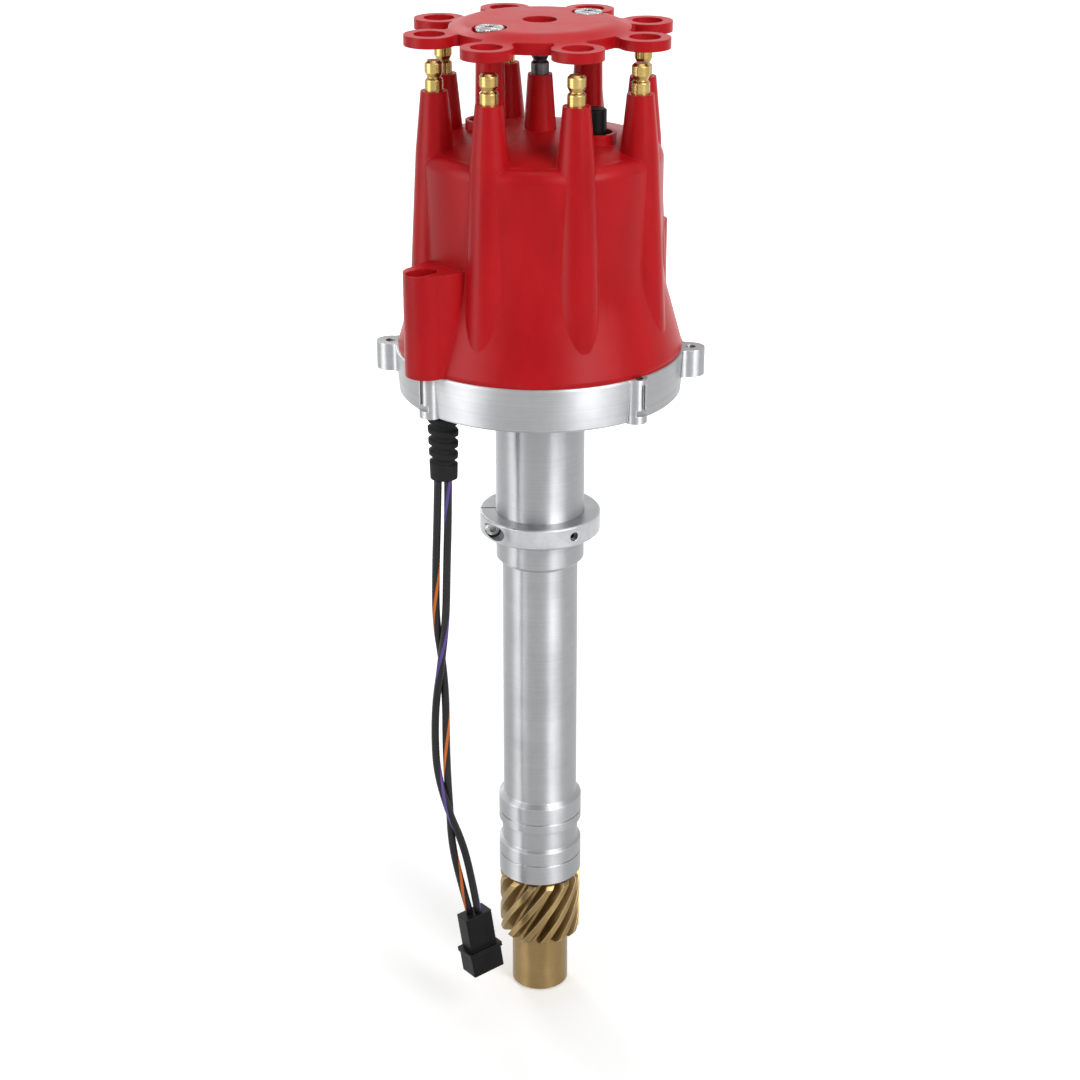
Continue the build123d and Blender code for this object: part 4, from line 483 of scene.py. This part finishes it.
def wire(name, points, stripe, front_at, node):
    """A tube of insulation with a stripe that winds round it."""
    line = smooth_line(f"{name}_line", points)
    side = (line[1] - line[0]).normalized().cross(Vector((0, 1, 0))).normalized()
    vertices = tube_points(line, side, WIRE_RADIUS, WIRE_SIDES, stripe_starts(line, front_at))
    piece = new_piece(name, vertices, ring_faces(len(line), WIRE_SIDES), insulation, stripe)
    smooth_sides(piece)
    for face in piece.data.polygons:
        on_stripe = face.index % WIRE_SIDES < STRIPE_SIDES
        face.material_index = 1 if on_stripe and len(face.vertices) == 4 else 0
    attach(piece, "housing")
    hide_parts(node)


wire("striped_wire_a", WIRE_A_ROUTE, violet, VIOLET_FACES_FRONT_AT, "signal_wire_a")
wire("striped_wire_b", WIRE_B_ROUTE, orange, ORANGE_FACES_FRONT_AT, "signal_wire_b")

# Retainer screws: round heads with radial ridges, on the same seats as the CAD screws
HEAD_RADIUS = 0.005
HEAD_HEIGHT = 0.0026
HEAD_CHAMFER = 0.0005
RIDGES = 26
RIDGE_DEPTH = 0.0003
RIDGE_START = 0.0021
SOCKET_RADIUS = 0.0016
SOCKET_DEPTH = 0.0012
SHANK_RADIUS = 0.0019


def turned_piece(name, centre, rows, sides, material):
    """A closed turned body. Each row is a radius, a height, and how far its odd points
    draw back inward and down."""
    vertices = []
    for radius, height, inward, drop in rows:
        for k in range(sides):
            odd = k % 2
            angle = k / sides * 2 * math.pi
            vertices.append(around(centre, angle, radius - inward * odd, height - drop * odd))
    return new_piece(name, vertices, ring_faces(len(rows), sides, downward=True), material)


screws_low, screws_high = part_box("retainer_screws")
head_top = screws_high[2]
seat = head_top - HEAD_HEIGHT
screw_rows = [
    (SOCKET_RADIUS, head_top - SOCKET_DEPTH, 0, 0),
    (SOCKET_RADIUS, head_top, 0, 0),
    (RIDGE_START, head_top, 0, 0),
    (RIDGE_START + RIDGE_DEPTH, head_top, 0, RIDGE_DEPTH),
    (HEAD_RADIUS - HEAD_CHAMFER, head_top, 0, RIDGE_DEPTH),
    (HEAD_RADIUS, head_top - HEAD_CHAMFER, RIDGE_DEPTH, 0),
    (HEAD_RADIUS, seat, RIDGE_DEPTH, 0),
    (SHANK_RADIUS, seat, 0, 0),
    (SHANK_RADIUS, screws_low[2], 0, 0),
]
for side_name, corner, sign in (("front", screws_low, 1), ("back", screws_high, -1)):
    centre = (corner[0] + sign * HEAD_RADIUS, corner[1] + sign * HEAD_RADIUS)
    screw = turned_piece(f"ridged_screw_{side_name}", centre, screw_rows, 2 * RIDGES, bright_steel)
    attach(screw, "cap")
    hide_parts("retainer_screws")

# Strain relief: a rubber sleeve with slanted grooves, in place of the CAD sleeve's level ones
RELIEF_LENGTH = 0.0234
RELIEF_BOTTOM_RADIUS = 0.0049
RELIEF_PLUG_RADIUS = 0.0038
RELIEF_SIDES = 40
RELIEF_STEPS = 72
GROOVES = 4
FIRST_GROOVE = 0.0034
GROOVE_PITCH = 0.0043
GROOVE_DEPTH = 0.0012
GROOVE_HALF_WIDTH = 0.0012
GROOVE_SLANT = 0.0007
LEVEL_FACE = 0.95
relief_low, relief_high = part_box("strain_relief")
relief_centre = (relief_low + relief_high) / 2
relief_top_radius = (relief_high[0] - relief_low[0]) / 2
sleeve_top = relief_low[2] + RELIEF_LENGTH


def sleeve_radius(down, angle):
    """The sleeve's radius at a distance below its top: it narrows, and the grooves slant."""
    radius = relief_top_radius + (RELIEF_BOTTOM_RADIUS - relief_top_radius) * down / RELIEF_LENGTH
    for k in range(GROOVES):
        offset = down - FIRST_GROOVE - k * GROOVE_PITCH - GROOVE_SLANT * math.cos(angle)
        share = 1 - (offset / GROOVE_HALF_WIDTH) ** 2
        if share > 0:
            radius -= GROOVE_DEPTH * math.sqrt(share)
    return radius


relief_angles = [k / RELIEF_SIDES * 2 * math.pi for k in range(RELIEF_SIDES)]
relief_points = []
for height in (relief_high[2], sleeve_top):
    for angle in relief_angles:
        relief_points.append(around(relief_centre, angle, RELIEF_PLUG_RADIUS, height))
for step in range(RELIEF_STEPS + 1):
    down = step / RELIEF_STEPS * RELIEF_LENGTH
    for angle in relief_angles:
        radius = sleeve_radius(down, angle)
        relief_points.append(around(relief_centre, angle, radius, sleeve_top - down))
relief_rows = len(relief_points) // RELIEF_SIDES
relief = new_piece(
    "grooved_relief", relief_points, ring_faces(relief_rows, RELIEF_SIDES, downward=True), rubber
)
smooth_sides(relief, LEVEL_FACE)
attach(relief, "housing")
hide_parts("strain_relief")

# Advance springs: close-wound coils, each with a loop round a weight's pin and one round a
# carrier's post
SPRING_LEVEL = 0.0970
PIN_PLACE = (0.008419, -0.020325)
POST_PLACE = (-0.010414, -0.014056)
PIN_LOOP_RADIUS = 0.0031
POST_LOOP_RADIUS = 0.0022
LOOP_TURN = math.radians(320)
LOOP_STEPS = 28
SPRING_WIRE_RADIUS = 0.00036
SPRING_WIRE_SIDES = 8
COIL_RADIUS = 0.0015
COIL_TURNS = 17
COIL_STEPS = 16
COIL_ENDS = 0.4
UP = Vector((0, 0, 1))


def spring_line(pin, post):
    """The line of a spring's wire, and the two places where its coil starts and ends."""
    along = (post - pin).normalized()
    across = UP.cross(along)
    start = pin + along * PIN_LOOP_RADIUS
    end = post - along * POST_LOOP_RADIUS
    points = []
    for i in range(LOOP_STEPS):
        angle = -LOOP_TURN * (1 - i / LOOP_STEPS)
        points.append(pin + (along * math.cos(angle) + across * math.sin(angle)) * PIN_LOOP_RADIUS)
    steps = COIL_TURNS * COIL_STEPS
    for i in range(steps + 1):
        turn = i / COIL_STEPS
        widening = min(1.0, turn / COIL_ENDS, (COIL_TURNS - turn) / COIL_ENDS)
        angle = turn * 2 * math.pi
        ring = (across * math.cos(angle) + UP * math.sin(angle)) * COIL_RADIUS
        points.append(start.lerp(end, i / steps) + ring * widening)
    for i in range(1, LOOP_STEPS + 1):
        angle = LOOP_TURN * i / LOOP_STEPS
        points.append(post + (across * math.sin(angle) - along * math.cos(angle)) * POST_LOOP_RADIUS)
    return points, start, end


def spring_piece(name, line):
    """A tube of spring wire along a line."""
    side = (line[1] - line[0]).normalized().orthogonal().normalized()
    vertices = tube_points(line, side, SPRING_WIRE_RADIUS, SPRING_WIRE_SIDES, [0.0] * len(line))
    piece = new_piece(name, vertices, ring_faces(len(line), SPRING_WIRE_SIDES), dark_steel)
    smooth_sides(piece)
    return piece


for half, sign in (("a", 1), ("b", -1)):
    pin = Vector((sign * PIN_PLACE[0], sign * PIN_PLACE[1], SPRING_LEVEL))
    post = Vector((sign * POST_PLACE[0], sign * POST_PLACE[1], SPRING_LEVEL))
    spring_points, coil_start, coil_end = spring_line(pin, post)
    spring = spring_piece(f"wound_spring_{half}", spring_points)
    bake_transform(spring)
    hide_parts(f"advance_spring_{half}")

# Floor: pale, lifted to white for the camera and for reflections, more so away from the object,
# so that only the object's own shadow shows on it
FLOOR_GAP = 0.0004
FLOOR_REACH = 6.0
LIFT_STARTS = 0.25
LIFT_ENDS = 0.9
LIFT_UNDER_OBJECT = 0.34
WHITE = (1.0, 1.0, 1.0, 1.0)


def rays_that_show(tree):
    """1 for the camera's rays and for reflections and refractions, 0 for the light on surfaces."""
    path = tree.nodes.new("ShaderNodeLightPath")
    seen = calculate(tree, "MAXIMUM", path, "Is Camera Ray", path, "Is Glossy Ray")
    return calculate(tree, "MAXIMUM", seen, 0, path, "Is Transmission Ray")


def floor_finish():
    """The floor's material, with a glow that grows with the distance from the object."""
    material, tree, shader = new_material("floor")
    shader.inputs["Roughness"].default_value = 0.9
    shader.inputs["Specular IOR Level"].default_value = 0.0
    shader.inputs["Emission Color"].default_value = WHITE
    floor_place = place(tree)
    grain = noise(tree, floor_place, scale=4.0, detail=3.0, roughness=0.5)
    tone = ramp(tree, grain, (0.90, 0.90, 0.90), (0.92, 0.92, 0.92))
    link(tree, tone, "Color", shader, "Base Color")
    away = tree.nodes.new("ShaderNodeVectorMath")
    away.operation = "LENGTH"
    link(tree, floor_place, "Vector", away, 0)
    lift = map_range(tree, away, "Value", LIFT_STARTS, LIFT_ENDS, LIFT_UNDER_OBJECT, 1.0)
    glow = calculate(tree, "MULTIPLY", rays_that_show(tree), 0, lift, "Result")
    link(tree, glow, 0, shader, "Emission Strength")
    return material


floor_level = cad_low[2] - FLOOR_GAP
floor_corners = [
    (x * FLOOR_REACH, y * FLOOR_REACH, floor_level) for x, y in ((-1, -1), (1, -1), (1, 1), (-1, 1))
]
floor = new_piece("floor", floor_corners, [(0, 1, 2, 3)], floor_finish())

# World: a soft even light, white where the camera or a reflection sees it
WORLD_LIGHT = 0.30
world = bpy.data.worlds.new("world")
scene.world = world
world.use_nodes = True
sky = world.node_tree
background = sky.nodes["Background"]
background.inputs["Color"].default_value = WHITE
level = map_range(sky, rays_that_show(sky), 0, 0.0, 1.0, WORLD_LIGHT, 1.0)
link(sky, level, "Result", background, "Strength")


# Lamps: the two shine lamps show in reflections alone and give the turned metal its bright bands
def lamp(name, location, target, size, power, diffuse=True):
    """A soft rectangular lamp that points at a target, or one that only reflections see."""
    data = bpy.data.lights.new(name, "AREA")
    data.shape = "RECTANGLE"
    data.size, data.size_y = size
    data.energy = power
    holder = bpy.data.objects.new(name, data)
    scene.collection.objects.link(holder)
    holder.location = location
    holder.rotation_mode = "QUATERNION"
    holder.rotation_quaternion = (Vector(target) - Vector(location)).to_track_quat("-Z", "Y")
    holder.visible_diffuse = diffuse


lamp("key", location=(0.75, -0.85, 0.75), target=(0, 0, 0.02), size=(0.45, 1.0), power=7.6)
lamp("fill", location=(-0.95, -0.6, 0.35), target=(0, 0, 0.0), size=(0.3, 1.1), power=2.4)
lamp("key_shine", location=(0.92, -0.75, 0.75), target=(0, 0, 0.02), size=(0.9, 1.0), power=16.0,
     diffuse=False)
lamp("fill_shine", location=(-0.95, -0.55, 0.35), target=(0, 0, 0.0), size=(0.9, 1.1), power=9.5,
     diffuse=False)
lamp("top", location=(0.1, 0.15, 1.1), target=(0, 0, 0.1), size=(0.7, 0.7), power=4.0)
lamp("rim", location=(-0.5, 0.9, 0.5), target=(0, 0, 0.05), size=(0.3, 0.9), power=3.0)

scene.view_settings.view_transform = "Standard"
